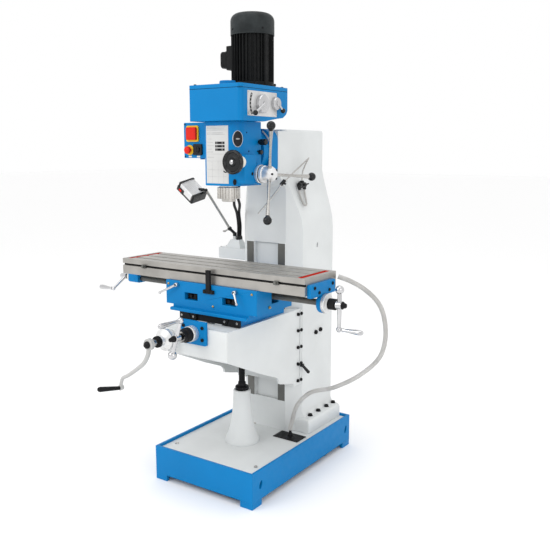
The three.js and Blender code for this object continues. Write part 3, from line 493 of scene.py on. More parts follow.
def drain_lengths():
    """The drain hose in the three lengths that the knee and the saddle divide it into."""
    line = smooth_path(DRAIN)
    whole = run(line)
    far = [run(line[:i + 1]) / whole for i in range(len(line))]
    for low, high in zip(DRAIN_SPLITS, DRAIN_SPLITS[1:]):
        yield [p for p, share in zip(line, far) if low <= share <= high]


HELD_BY = (("frame", "knee"), ("knee", "saddle"), ("saddle", "table"))
lengths = list(drain_lengths())
for i, (part, bodies) in enumerate(zip(("lower", "middle", "upper"), HELD_BY)):
    route = lengths[i] if i == 2 else lengths[i] + lengths[i + 1][:1]
    cord(f"drain_tube_{part}", f"drain_hose_{part}", route, DRAIN_RADIUS, "hose")
coolant_line = smooth_path(COOLANT, 3.0)
coolant_tube = Solid().tube(coolant_line, COOLANT_RADIUS, 16).done(
    "coolant_tube", "hose", body_of("coolant_hose"), 0, ["coolant_hose"])
cord("conduit_tube_left", "conduit_left", smooth_path(conduit_route(174, -30, -118, -9)),
     CONDUIT_RADIUS,
     "rubber")
cord("conduit_tube_right", "conduit_right", smooth_path(conduit_route(191, -8, -132, 9)),
     CONDUIT_RADIUS,
     "rubber")

# ------------------------------------------------------------------ the frame's own pieces
FINISH = {
    "base": ["base_casting"],
    "white": ["column", "electrical_box", "knee_casting", "knee_gib"],
    "blue": ["swivel_block", "saddle_casting", "head_casting", "gearbox_housing", "gearbox_lid",
             "control_plate", "end_bracket_left", "end_bracket_right", "cross_screw_bearing"],
    "ground": ["work_table"],
    "black": ["drain_plate", "travel_stop"],
    "turned": ["motor_shaft", "drive_gear", "idler_gear"],
}
EDGE_ROUNDING = 1.6
for finish, names in FINISH.items():
    for name in names:
        node = frame["nodes"][name]
        node.data.materials.clear()
        node.data.materials.append(M[finish].material)
        smooth(node.data)
        soften(node, EDGE_ROUNDING)

# ------------------------------------------------------------------ motor
MOTOR_Y = -28
MOTOR_FOOT = 1755.3
COWL_FOOT = 1977.3
COWL_TOP = 2070
FINS = 36


def motor():
    y = MOTOR_Y
    shell = Solid()
    shell.lathe([(62, MOTOR_FOOT), (100, MOTOR_FOOT), (100, 1766), (94, 1767), (94, 1779), (84,
                                                                                            1783),
                 (84, 1977), (62, 1977)], "z", (0, y, 0), 72, True)
    for i in range(FINS):
        a = 2 * math.pi * i / FINS
        across = Vector((-math.sin(a), math.cos(a), 0))
        out = Vector((math.cos(a), math.sin(a), 0))
        ring = [out * r + across * s for r, s in ((82, -2.6), (93, -1.7), (94, 0), (93, 1.7), (82, 2.6))]
        shell.skin([[(p.x, p.y + y, z) for p in ring] for z in (1780, 1977)])
    shell.prism([(66, y - 34), (90, y - 34), (92, y - 30), (92, y - 10), (90, y - 6), (66, y - 6)],
                "z", 1767, 1977)
    shell.done("motor_shell", "motor", "head", 0.5, ["motor_body"])

    box = Solid()
    box.prism(rounded(-112, -70, -78, 22, 10), "z", 1836, 1938)
    box.prism(rounded(-75, 19, 1843, 1921, 14), "x", -118, -110)
    box.prism(rounded(-72, 16, 1846, 1918, 16), "x", -146, -116)
    box.prism(rounded(-66, 10, 1852, 1912, 14), "x", -150, -144)
    box.rod((-92, -28, 1836), (-92, -28, 1818), 13, 11)
    box.done("motor_terminal_box", "motor", "head", 2.5)

    bolts = Solid()
    for sx in (-1, 1):
        for sy in (-1, 1):
            bolts.lathe([(0, 1766), (9, 1766), (9, 1774), (7.5, 1776), (0, 1776)], "z",
                        (sx * 70, y + sy * 66, 0), 6)
    for y0, z0 in ((-62, 1856), (-62, 1908), (6, 1856), (6, 1908)):
        bolts.screw((-144, y0, z0), "x", 4, 4, -1)
    bolts.done("motor_bolts", "black", "head", 0.5)

    dome = [(62 + 34 * math.cos(math.radians(t)), COWL_TOP - 34 + 34 * math.sin(math.radians(t)))
            for t in range(0, 91, 9)]
    profile = [(0, COWL_TOP - 6), (60, COWL_TOP - 7), (88, COWL_TOP - 40), (90, COWL_FOOT), (96, COWL_FOOT),
               (96, COWL_FOOT + 4), (95.4, COWL_FOOT + 5), (96, COWL_FOOT + 6), *dome, (0,
                                                                                        COWL_TOP)]
    stand_in(Solid().lathe(profile, "z", (0, y, 0), 96), "motor_fan_cowl", "motor_cowl", "cowl", 0)
    screws = Solid()
    for i in range(4):
        a = math.radians(-27 + 90 * i)
        out = Vector((math.cos(a), math.sin(a), 0))
        at = Vector((0, y, 1999))
        screws.rod(at + out * 93, at + out * 98.5, 4.5, 4.0, 16)
    screws.done("cowl_screws", "black", "head", 0.4)


motor()

# ------------------------------------------------------------------ gearbox
GEARBOX_FACE = 138


def gearbox():
    seam = Solid().prism(rounded(-138.4, 138.4, -300.4, 46.4, 9), "z", 1737.7, 1738.7)
    seam.done("gearbox_seam", "black", "head")
    cap = Solid().lathe([(0, 1755), (34.6, 1755), (34.6, 1771), (31, 1774.6), (0, 1774.6)], "z",
                        (0, -208, 0), 64)
    cap.done("spindle_cap", "blue", "head")
    lid_screws = Solid()
    for x in (-118, 118):
        for y in (-280, -120, 28):
            lid_screws.screw((x, y, 1755), "z", 6, 5)
    lid_screws.done("lid_screws", "black", "head", 0.4)

    plate = Solid().prism(rounded(-256, -44, 1627, 1728, 3), "x", GEARBOX_FACE - 0.5,
                          GEARBOX_FACE + 1.4)
    plate.done("speed_plate", "silver_plate", "head", 0.4)
    scale = Solid()
    inner, outer = 72, 82
    arc = [math.radians(148 + 6 * i) for i in range(12)]
    ring = [(-160 + outer * math.cos(a), 1677 + outer * math.sin(a)) for a in arc]
    ring += [(-160 + inner * math.cos(a), 1677 + inner * math.sin(a)) for a in reversed(arc)]
    scale.prism(ring, "x", GEARBOX_FACE + 1, GEARBOX_FACE + 1.8)
    scale.done("speed_scale", "ink", "head")
    marks = Solid()
    for i in range(6):
        a = math.radians(153 + 11 * i)
        at = Vector((GEARBOX_FACE + 1.9, -160 + 77 * math.cos(a), 1677 + 77 * math.sin(a)))
        marks.block(at.x - 0.3, at.x + 0.2, at.y - 2.5, at.y + 2.5, at.z - 2, at.z + 2)
    marks.done("speed_scale_marks", "label", "head")
    rivets = Solid()
    for y in (-250, -50):
        for z in (1634, 1721):
            rivets.ball((GEARBOX_FACE + 1.4, y, z), 2.4, 12)
    rivets.done("speed_plate_rivets", "satin", "head")

    face = GEARBOX_FACE + 2
    for name, y, z, radius, thick, knob_y, knob_z in (("front", -160, 1677, 38, 20, -232, 1638),
                                                      ("rear", -58, 1683, 27, 18, -26, 1654)):
        dial = Solid()
        dial.lathe([(0, -14), (8, -14), (8, 0), (radius, 0), (radius, thick - 6), (radius - 3,
                                                                                   thick - 2),
                    (radius - 10, thick), (0, thick)], "x", (face, y, z), 64)
        dial.rod((face + thick - 2, y, z), (face + thick + 1, knob_y, knob_z), 7, 5)
        dial.lathe([(0, thick - 1), (12, thick - 1), (12, thick + 3), (9, thick + 5), (0, thick + 5)], "x",
                   (face, y, z), 32)
        body = body_of(f"speed_selector_{name}")
        dial.done(f"speed_dial_{name}", "chrome", body, 0.4, [f"speed_selector_{name}"])
        knob = Solid().ball((face + thick + 2, knob_y, knob_z), 11, 28)
        knob.done(f"speed_knob_{name}", "phenolic", body)


gearbox()

# ------------------------------------------------------------------ head
FEED_Y, FEED_Z = -148, 1386
FEED_CONE = math.radians(19)
LEVER_LENGTH = 233


def printed_plate():
    """The plate on the head's front, wrapped round the start of the corner."""
    corner_x, corner_y = 34, -210
    bend = [math.radians(-90 + 2 * i) for i in range(7)]

    def outline(x0, x1, low, high):
        """A strip of the plate between two heights above the casting, x1 being an angle past the flat."""
        outer = [(x0, -268 - high)]
        inner = [(x0, -268 - low)]
        for a in bend:
            if math.degrees(a) + 90 <= x1 + 0.1:
                outer.append((corner_x + (58 + high) * math.cos(a),
                              corner_y + (58 + high) * math.sin(a)))
                inner.append((corner_x + (58 + low) * math.cos(a),
                              corner_y + (58 + low) * math.sin(a)))
        return outer + inner[::-1]

    Solid().prism(outline(-71, 12, -0.4, 0.9), "z", 1347, 1588).done("chart_plate", "label",
                                                                     "head")
    face, ink = -268.5, -269.1
    faint = Solid()
    for z in (1376, 1404, 1441, 1470):
        faint.block(-66, 36, ink, face, z, z + 0.8)
    for x in (-40, -8, 20):
        faint.block(x, x + 0.8, ink, face, 1350, 1441)
    for z, right in ((1581, 34), (1575, 28), (1569, 34), (1557, 20), (1551, 30)):
        faint.block(-66, right, ink, face, z, z + 2.2)
    for row, z in enumerate((1532, 1518, 1504, 1490, 1478, 1456)):
        faint.block(-64, -40 + 5 * (row % 3), ink, face, z, z + 2.0)
    faint.done("chart_lines", "faded_ink", "head")
    table = Solid()
    for row in range(3):
        z = 1484 + 14 * row
        for x0, x1 in ((-22, -14), (-12, 14), (16, 28)):
            table.block(x0, x1, ink - 0.2, face, z, z + 10)
    table.done("chart_table", "ink", "head")


def oval(shape, centre, normal_angle, half_width, half_height, low, high):
    """An oval plate that stands against an upright face whose normal is at an angle in plan."""
    out = Vector((math.cos(normal_angle), math.sin(normal_angle), 0))
    across = Vector((-out.y, out.x, 0))
    rings = []
    for depth in (low, high):
        rings.append([Vector(centre) + out * depth + across * (half_width * math.cos(t)) +
                      Vector((0, 0, half_height * math.sin(t)))
                      for t in (2 * math.pi * i / 40 for i in range(40))])
    return shape.skin(rings)


def head_front():
    printed_plate()
    corner = math.radians(-38)
    at = (34 + 58 * math.cos(corner), -210 + 58 * math.sin(corner), 1533)
    oval(Solid(), at, corner, 22, 34, -3.5, 1.6).done("badge_rim", "label", "head", 0.3)
    oval(Solid(), at, corner, 20, 32, -3.0, 2.0).done("badge_field", "ink", "head", 0.3)
    oval(Solid(), at, corner, 9, 3, -2.0, 2.4).done("badge_bar", "faded_ink", "head")
    dark = Solid()
    for y, z, r in ((-186, 1482, 3.4), (-122, 1482, 3.4), (-200, 1560, 3.0)):
        dark.screw((92, y, z), "x", r, 1.6)
    dark.screw((118, -196, 1388), "x", 7, 2)
    out = Vector((math.cos(math.radians(-52)), math.sin(math.radians(-52)), 0))
    face = Vector((34, -210, 1354)) + out * 57
    oval(dark, face, math.radians(-52), 7.5, 13, -1, 3.5)
    dark.done("head_screws", "black", "head", 0.4)

    knobs = Solid()
    knobs.lathe([(0, 92), (7, 92), (7, 100), (13, 101), (13.5, 128), (11, 132), (0, 132)], "x",
                (0, -112, 1521), 28)
    knobs.lathe([(0, 92), (10, 92), (10, 104), (8, 107), (0, 107)], "x", (0, -108, 1478), 24)
    knobs.done("head_lock_knobs", "phenolic", "head", 0.5)

    degrees = Solid()
    arc = [math.radians(22 + 4 * i) for i in range(10)]
    ring = [(110 * math.cos(a), 1480 + 110 * math.sin(a)) for a in arc]
    ring += [(103 * math.cos(a), 1480 + 103 * math.sin(a)) for a in reversed(arc)]
    degrees.prism([(min(x, 102), z) for x, z in ring], "y", -38.9, -37.5)
    degrees.done("swivel_scale", "label", "frame")


def feed_station():
    """The quill's feed hub, with its dial, three levers and their balls."""
    at = (0, FEED_Y, FEED_Z)
    boss = Solid().lathe([(20, 90), (44.6, 90), (44.6, 117), (42, 119.9), (20, 119.9)], "x", at,
                         72, True)
    boss.done("feed_boss", "blue", "head")
    body = body_of("feed_hub")
    hub = Solid().lathe([(0, -60), (19.5, -60), (19.5, 120), (38, 120), (39, 121), (39, 132.5),
                         (38, 133.5),
                         (36, 134), (36, 149), (35, 150), (33, 150.5), (32, 152), (33, 154), (33,
                                                                                              184),
                         (31, 187), (26, 195), (20, 201), (12, 206), (0, 208)], "x", at, 72)
    stand_in(hub, "feed_hub_turned", "feed_hub", "dial")
    Solid().ticks("x", at, 39, 122, 7, 50, 0.8).done("feed_dial_marks", "ink", body)
    Solid().lathe([(30, 133.4), (37.2, 133.4), (37.2, 137), (30, 137)], "x", at, 64, True).done(
        "feed_dial_ring", "black", body)
    sockets = Solid()
    for i in range(3):
        a = math.radians(-26 + 60 + 120 * i)
        hole = (0, FEED_Y + 20 * math.sin(a), FEED_Z + 20 * math.cos(a))
        sockets.rod((196, hole[1], hole[2]), (203.5, hole[1], hole[2]), 4.5, 4.5, 16)
    sockets.done("feed_hub_screws", "black", body, 0.3)
    for i, degrees in enumerate((-26, 94, -146)):
        a = math.radians(degrees)
        along = Vector((math.sin(FEED_CONE), math.cos(FEED_CONE) * math.sin(a),
                        math.cos(FEED_CONE) * math.cos(a)))
        root = Vector((172, FEED_Y, FEED_Z))

        def width(share):
            return 7.5 - 1.6 * math.sin(math.pi * min(1, share * 1.1)) + 2.2 * share ** 6

        points = [root + along * (28 + (LEVER_LENGTH - 48) * k / 20) for k in range(21)]
        rod = Solid().tube(points, width, 28)
        rod.rod(root + along * 26, root + along * 40, 10, 9)
        stand_in(rod, f"feed_rod_{i + 1}", f"feed_lever_{i + 1}", "satin")
        knob = Solid().ball(root + along * LEVER_LENGTH, 18.5, 36)
        knob.rod(root + along * (LEVER_LENGTH - 24), root + along * (LEVER_LENGTH - 14), 8.5, 11)
        knob.done(f"feed_ball_{i + 1}", "phenolic", body)


def fine_feed():
    at = (102, 0, 1438)
    body = body_of("fine_feed_wheel")
    wheel = Solid().lathe([(0, -318), (16, -318), (19, -313), (36, -311), (41, -318), (46, -320),
                           (50, -315),
                           (50, -303), (46, -298), (38, -296.5), (0, -296.5)], "y", at, 72)
    wheel.lathe([(0, -262), (8, -262), (8, -208), (0, -208)], "y", at, 24)
    ear = Vector((102 - 40, -308, 1438 - 33))
    ring = [ear + Vector((9 * math.cos(t), 0, 9 * math.sin(t)))
            for t in (math.radians(200 + 12 * i) for i in range(24))]
    wheel.tube(ring, 2.6, 10)
    stand_in(wheel, "fine_wheel_rim", "fine_feed_wheel", "phenolic", 0.6)
    Solid().lathe([(0, -321.5), (5, -321.5), (9, -320), (9, -316), (0, -316)], "y", at, 32).done(
        "fine_wheel_nut", "chrome", body)
    Solid().lathe([(0, -297), (27, -297), (28, -296), (28, -280), (27, -279), (25.5, -279), (25.5,
                                                                                             -270),
                   (24, -269), (24, -250.4), (0, -250.4)], "y", at, 64).done("fine_feed_dial",
                                                                             "cream", body)
    Solid().ticks("y", at, 28, -293, 8, 40, 0.7).done("fine_feed_marks", "ink", body)


def quill_and_spindle():
    at = (0, -208, 0)
    sleeve = Solid().lathe([(26, 1281), (46, 1281), (46, 1329), (40, 1331), (40, 1590), (26, 1590)], "z",
                           at, 64, True)
    flutes = 24
    for i in range(flutes):
        a = 2 * math.pi * i / flutes
        out = Vector((math.cos(a), math.sin(a), 0))
        across = Vector((-out.y, out.x, 0))
        ring = [Vector(at) + out * r + across * s
                for r, s in ((45, -4.8), (49.2, -3.9), (50, -2), (50, 2), (49.2, 3.9), (45, 4.8))]
        sleeve.skin([[(p.x, p.y, z) for p in ring] for z in (1281, 1329)])
    stand_in(sleeve, "quill_sleeve", "quill", "turned", 0.5)
    nose = Solid().lathe([(0, 1330), (8, 1324), (16, 1268.6), (17, 1268), (29, 1268), (30, 1269),
                          (30, 1280.5),
                          (25.5, 1280.5), (25.5, 1600), (14, 1604), (14, 1762), (0, 1762)], "z", at, 64)
    stand_in(nose, "spindle_turned", "spindle", "turned")


def controls():
    """The switch plate: a hinged red cover in a yellow frame, a stop button and a black switch."""
    Solid().prism(rounded(-232, -163, 1523, 1593, 9), "y", -213, -206.3).done(
        "switch_frame", "yellow", "switch_cover", 1.2)
    lid = Solid().prism(rounded(-225, -170, 1531, 1586, 6), "y", -224, -212)
    lid.prism(rounded(-219, -176, 1537, 1580, 5), "y", -224.6, -223)
    stand_in(lid, "switch_lid", "switch_cover", "red", 1.4)
    at = (-216, 0, 1487)
    button = Solid().lathe([(0, -234), (7, -233.7), (12.5, -232.4), (16, -229.5), (17, -226),
                            (16.6, -222.5),
                            (9, -220), (9, -190), (0, -190)], "y", at, 48)
    stand_in(button, "stop_mushroom", "stop_button", "red")
    Solid().lathe([(9.7, -206.3), (22, -206.3), (22, -210), (19, -212), (13, -212), (9.7, -211)],
                  "y", at,
                  48, True).done("stop_ring", "yellow", "head")
    switch = Solid().prism(rounded(-193, -144, 1465, 1513, 4), "y", -214, -205.8)
    switch.prism(rounded(-181, -156, 1477, 1501, 10), "y", -219, -213)
    switch.block(-171, -166, -221, -218, 1476, 1502)
    switch.done("rotary_switch", "phenolic", "head", 0.8)
    tags = Solid()
    for x in (-216, -168):
        tags.prism(rounded(x - 9, x + 9, 1455, 1462, 2), "y", -206.8, -205.8)
    tags.done("switch_tags", "cream", "head")
    screws = Solid()
    for x, z in ((-244, 1599), (-244, 1459), (-100, 1459)):
        screws.screw((x, -206, z), "y", 3.5, 2, -1)
    screws.done("control_screws", "black", "head", 0.3)


head_front()
feed_station()
fine_feed()
quill_and_spindle()
controls()


# ------------------------------------------------------------------ lamp and coolant
def lamp():
    body = body_of("lamp_arm")
    arm = Solid().rod((-284, 160, 1100), (-299, 10, 1286), 6.5, 6.5, 28)
    arm.rod((-299, 10, 1286), (-300, 0, 1298), 6.5, 5.5)
    stand_in(arm, "lamp_rod", "lamp_arm", "satin")
    joint = Solid().lathe([(0, 1062.3), (10, 1062.3), (10, 1078), (7.5, 1080), (0, 1080)], "z",
                          (-268, 181, 0), 32)
    joint.rod((-268, 181, 1074), (-284, 160, 1100), 8, 7).ball((-284, 160, 1100), 11.5)
    joint.ball((-300, 0, 1298), 8)
    joint.done("lamp_joints", "phenolic", body)
    wing = Solid().rod((-290, 150, 1094), (-300, 138, 1088), 4, 4, 16)
    oval(wing, (-300, 138, 1088), math.radians(-50), 9, 5, -1.5, 1.5)
    wing.done("lamp_wing_screw", "satin", body, 0.4)


HEAD_TILT = math.radians(17)
HEAD_TURN = math.radians(38)


def lamp_place(point):
    """A point of the lamp's head, turned the way the head points."""
    x, y, z = point
    y, z = y * math.cos(HEAD_TILT) - z * math.sin(HEAD_TILT), y * math.sin(HEAD_TILT) + z * math.cos(HEAD_TILT)
    x, z = x * math.cos(HEAD_TURN) + z * math.sin(HEAD_TURN), z * math.cos(HEAD_TURN) - x * math.sin(HEAD_TURN)
    return (x - 375, y - 13, z + 1295)


def lamp_slab(shape, x0, x1, y0, y1, z0, z1, radius=6):
    return shape.skin([[lamp_place((x, y, z)) for x, y in rounded(x0, x1, y0, y1, radius, 4)]
                       for z in (z0, z1)])


def lamp_head():
    """A ribbed silver housing with black ends, a black bezel and a red rocker switch."""
    body = body_of("lamp_head")
    shell = lamp_slab(Solid(), -44, 44, -45, 45, -17, 16, 5)
    for i in range(11):
        y = -40 + 8 * i
        tall = 24 - 3.5 * (abs(y) / 40) ** 2
        lamp_slab(shell, -44, 44, y - 1.6, y + 1.6, 10, tall, 0.8)
    shell.done("lamp_housing", "dial", body, 0.5)
    black = Solid()
    for x0, x1 in ((-57, -43), (43, 57)):
        lamp_slab(black, x0, x1, -46, 46, -24, 21, 6)
    for y0, y1 in ((-46, -37), (37, 46)):
        lamp_slab(black, -50, 50, y0, y1, -24, -15, 3)
    black.rod((-344, 0, 1300), (-312.5, 0, 1300), 7, 7, 24)
    lamp_slab(black, -57, -10, -47.5, -43, -24, 2, 1)
    stand_in(black, "lamp_ends", "lamp_head", "phenolic", 1.0)
    lamp_slab(Solid(), -44, 44, -38, 38, -20, -16.5, 4).done("lamp_lens", "glass", body, 0.3)
    lamp_slab(Solid(), -42, -24, -49, -47, -16, -6, 0.8).done("lamp_switch", "red", body, 0.3)


def coolant():
    x, y, z = 133, 165, 1328
    valve = Solid()
    valve.lathe([(0, 125.5), (17, 125.5), (17, 130), (14, 132), (14, 146), (12, 150), (0, 150)],
                "x",
                (0, y, z), 40)
    valve.lathe([(0, y - 27), (11, y - 27), (12, y - 25), (12, y - 13), (10, y - 12), (10, y + 12),
                 (12, y + 13), (12, y + 25), (11, y + 27), (0, y + 27)], "y", (x + 6, 0, z), 40)
    valve.lathe([(0, z), (9, z), (9, z + 8), (11, z + 8), (11, z + 18), (9, z + 20), (0, z + 20)],
                "z",
                (x + 6, y, 0), 6)
    for side in (-22, 22):
        valve.lathe([(0, z - 22), (6, z - 22), (8, z - 20), (8, z - 8), (7, z - 7), (7, z), (0, z)], "z",
                    (x + 6, y + side, 0), 32)
    stand_in(valve, "coolant_valve_body", "coolant_valve", "phenolic", 0.4)
    lever = Solid().rod((150, y, z), (158, y, z), 4, 4, 16).rod((156, y, z), (160, y + 24, z + 6),
                                                                4, 3, 16)
    lever.done("coolant_valve_lever", "phenolic", "frame", 0.3)
    route = smooth_path([(139, 165, 1348.3), (140, 169, 1388), (145, 195, 1433), (147, 209, 1450),
                         (147, 201, 1446), (147, 145, 1418), (149, 75, 1386), (149, 15, 1356),
                         (147, -11, 1342), (135, -40, 1308), (117, -75, 1264), (95, -125,
                                                                                1212)], 4.0)
    pipe = Solid().tube(route, lambda share: 3.4 if share < 0.97 else 2.6, 16)
    stand_in(pipe, "coolant_pipe", "coolant_nozzle", "satin")
    clamp = Solid().rod((148.5, 4, 1353), (145, -19, 1336), 9, 8, 24).rod((146, -8, 1345), (160, -2, 1338), 4, 5)
    clamp.done("coolant_clamp", "phenolic", body_of("coolant_nozzle"), 0.5)


lamp()
lamp_head()
coolant()

# ------------------------------------------------------------------ column and base
SCREW_Y = -125


def column_dressing():
    ways = Solid()
    for side in (-1, 1):
        x0, x1 = sorted((side * 69.2, side * 108.8))
        ways.block(x0, x1, 68.75, 69.4, 300.5, 1060.5)
    ways.done("column_way_faces", "way", "frame")
    bolts = Solid()
    for side in (-1, 1):
        for y in (174, 250, 329, 396):
            bolts.lathe([(0, 213), (13, 213), (13, 214.5), (10.5, 214.5), (10.5, 221), (9, 223),
                         (5.5, 223),
                         (5.5, 218), (0, 218)], "z", (side * 189, y, 0), 28)
    for y, z in ((249, 613), (292, 618)):
        bolts.screw((168, y, z), "x", 10.5, 10)
        bolts.screw((-168, y, z), "x", 10.5, 10, -1)
    oval(bolts, (146, 262, 1041), 0, 7.8, 12.8, -3.5, 3.5)
    bolts.done("column_bolts", "black", "frame", 0.5)
    tray = Solid()
    for x, y in ((-73, 78), (32, -88), (-225, -330), (225, -330)):
        tray.lathe([(0, 147), (9, 147), (9, 150), (7, 153), (0, 153)], "z", (x, y, 0), 6)
    tray.done("tray_screws", "satin", "frame", 0.4)
    for name, body, places in (("box", "frame", ((-241, 174), (-241, 191))),
                               ("head", "head", ((-30, -118), (-8, -132)))):
        gland = Solid()
        for x, y in places:
            root, tip = (1046, 1064) if body == "frame" else (1337, 1316)
            step = math.copysign(1, tip - root)
            gland.lathe([(6.8, root), (11, root), (11, root + 9 * step), (8.5, tip), (6.8, tip)],
                        "z",
                        (x, y, 0), 28, True)
        gland.done(f"conduit_glands_{name}", "phenolic", body, 0.3)
    lid = Solid()
    for x in (-338, -178):
        for y in (158, 204):
            lid.screw((x, y, 1005), "z", 4, 2.5)
    lid.done("electrical_box_screws", "satin", "frame", 0.3)


def pedestal():
    at = (0, SCREW_Y, 0)
    outer = [(80, 147.3), (80, 158), (76, 166), (72, 178), (66, 193), (60, 210), (55.5, 227), (52, 245),
             (48.6, 265), (46, 285), (43.6, 312), (42, 340), (40.6, 370), (40, 393), (38, 396)]
    stand_in(Solid().lathe([(15.5, 147.3), *outer, (15.5, 396)], "z", at, 72, True),
             "pedestal_cone", "screw_pedestal", "white")
    nut = [(15.5, 396.3), (30, 396.3), (31, 398), (31, 410), (28, 414), (20, 415), (19, 418),
           (17.5, 432),
           (15.5, 432)]
    stand_in(Solid().lathe(nut, "z", at, 56, True), "pedestal_nut_turned", "pedestal_nut", "black")
    screw = Solid()
    thread = [(0, 166)]
    z = 166
    while z < 655:
        thread += [(14.5, z), (14.5, z + 3.2), (13.4, z + 3.8), (13.4, z + 5.4)]
        z += 6
    screw.lathe([*thread, (14.5, 660.3), (30, 660.3), (30, 677), (123, 677), (126.5, 680), (126.5,
                                                                                            700),
                 (123, 703.5), (14.5, 704), (0, 704)], "z", at, 64)
    stand_in(screw, "elevating_screw_threaded", "elevating_screw", "black")


column_dressing()
pedestal()

# ------------------------------------------------------------------ knee
KNEE_SIDE = 165
KNEE_FRONT = -445


def knee_dressing():
    screws = Solid()
    for z in (408, 490, 571, 652, 731):
        for y in (93, 117.5):
            x = KNEE_SIDE if y < 112 else KNEE_SIDE + 4
            screws.screw((x, y, z), "x", 8, 9 if y < 112 else 6)
    for x, z in ((-51, 762), (51, 762), (-51, 711), (51, 711)):
        screws.screw((x, KNEE_FRONT - 16, z), "y", 7.5, 5, -1)
    screws.done("knee_screws", "black", "knee", 0.4)
    handle = Solid().lathe([(0, 169.3), (9, 169.3), (9, 184), (7, 185), (0, 185)], "x", (0, 116,
                                                                                         480), 32)
    handle.rod((179, 116, 480), (199, 136, 446), 6, 8, 24).ball((199, 136, 446), 8)
    stand_in(handle, "knee_lock_handle", "knee_lock", "phenolic", 0.3)
    dial = Solid().lathe([(11.7, -461.2), (33, -461.2), (34, -463), (34, -488), (32, -492), (11.7, -492)],
                         "y", (0, 0, 735), 72, True)
    dial.done("cross_dial", "dial", "knee")
    Solid().ticks("y", (0, 0, 735), 34, -488, 9, 60, 0.8).done("cross_dial_marks", "ink", "knee")
    lip = Solid().block(-KNEE_SIDE - 0.6, KNEE_SIDE + 0.6, -430, -428, 752, 754.4)
    lip.done("knee_front_seam", "faded_ink", "knee")


def cross_feed():
    at = (0, 0, 735)
    body = body_of("cross_screw")
    screw = Solid().lathe([(0, -548), (10, -548), (10, -535), (23, -535), (25, -533), (25, -516),
                           (31, -512),
                           (31, -492.3), (11, -492.3), (11, 20), (0, 20)], "y", at, 56)
    stand_in(screw, "cross_screw_turned", "cross_screw", "black")
    Solid().lathe([(15, -536.2), (22, -536.2), (22, -534.5), (15, -534.5)], "y", at, 48,
                  True).done(
        "cross_collar_ring", "satin", body)
    tilt = 0.31

    def along(r):
        return Vector((r * math.sin(tilt), -563, 735 + r * math.cos(tilt)))

    crank = Solid().lathe([(0, -577), (14, -577), (16, -575), (16, -550), (14.5, -548.3), (0, -548.3)], "y",
                          at, 48)
    crank.rod(along(0), along(80), 9.5, 7).rod(along(0), along(-80), 9.5, 8.5)
    crank.ball(along(80), 13).ball(along(-80), 19)
    stand_in(crank, "cross_crank_forged", "cross_crank", "chrome", 0)
    Solid().lathe([(0, -604), (5, -603.6), (8, -602), (12, -584), (13.5, -580), (13.5, -576), (0, -576)], "y",
                  at, 40).done("cross_crank_cap", "black", body)
    top = along(80)
    grip = Solid().lathe([(0, -690), (5, -689.4), (8, -687), (10.4, -680), (11, -670), (10.6, -655), (9, -630),
                          (7, -604), (6, -590), (7.5, -583), (8, -578), (6, -576.3), (0, -576.3)], "y",
                         (top.x, 0, top.z), 40)
    stand_in(grip, "cross_grip_turned", "cross_grip", "chrome")


def lift():
    at = (-141, 0, 690)
    body = body_of("lift_shaft")
    shaft = Solid().lathe([(0, -566), (15, -566), (15, -548), (13, -547), (13, -520), (12, -453.3),
                           (9.8, -453.3),
                           (9.8, -104), (0, -104)], "y", at, 40)
    stand_in(shaft, "lift_shaft_turned", "lift_shaft", "satin")
    dial = Solid().lathe([(13, -521), (22, -520), (23, -518), (23, -499), (38, -491), (47, -488.5),
                          (48, -487),
                          (48, -473), (46, -471.5), (40, -453.5), (13, -453.5)], "y", at, 72, True)
    dial.done("lift_dial", "dial", body)
    Solid().ticks("y", at, 48, -486.5, 9, 80, 0.8).done("lift_dial_marks", "ink", body)
    Solid().lathe([(13, -534), (24, -534), (25, -532), (25, -521), (23, -519.5), (13, -519.5)],
                  "y", at, 40,
                  True).done("lift_collar", "black", body, 0.3)
    crank = Solid().lathe([(0, -586), (22, -586), (25, -584), (25, -568), (23, -566), (0, -566)],
                          "y", at, 48)
    crank.tube(smooth_path([(-141, -578, 676), (-144, -581, 648), (-163, -586, 610), (-207, -592,
                                                                                      572),
                            (-253, -595, 540), (-285, -596, 521), (-297, -596, 487)], 5.0),
               lambda share: 10 - 2.5 * share, 24)
    crank.lathe([(0, -605), (10, -605), (12, -603), (12, -588), (10, -586), (0, -586)], "y", (-297, 0, 479), 36)
    stand_in(crank, "lift_crank_cast", "lift_crank", "silver_paint", 0)
    Solid().lathe([(0, -604), (7, -603), (9, -598), (14, -595), (15.5, -590), (15.5, -585.5), (0, -585.5)],
                  "y", at, 40).done("lift_crank_cap", "black", body)
    lean = Vector((0, -math.cos(0.22), math.sin(0.22)))
    root = Vector((-297, -606, 479))

    def width(share):
        return 11.5 * (1 - 0.28 * (1 - share)) * (1 if share < 0.94 else 1 - 4 * (share - 0.94))

    grip = Solid().tube([root + lean * (1 + 116.5 * i / 24) for i in range(25)], width, 32)
    stand_in(grip, "lift_grip_moulded", "lift_grip", "rubber")


knee_dressing()
cross_feed()
lift()

# ------------------------------------------------------------------ saddle and table
SADDLE_FRONT = -350


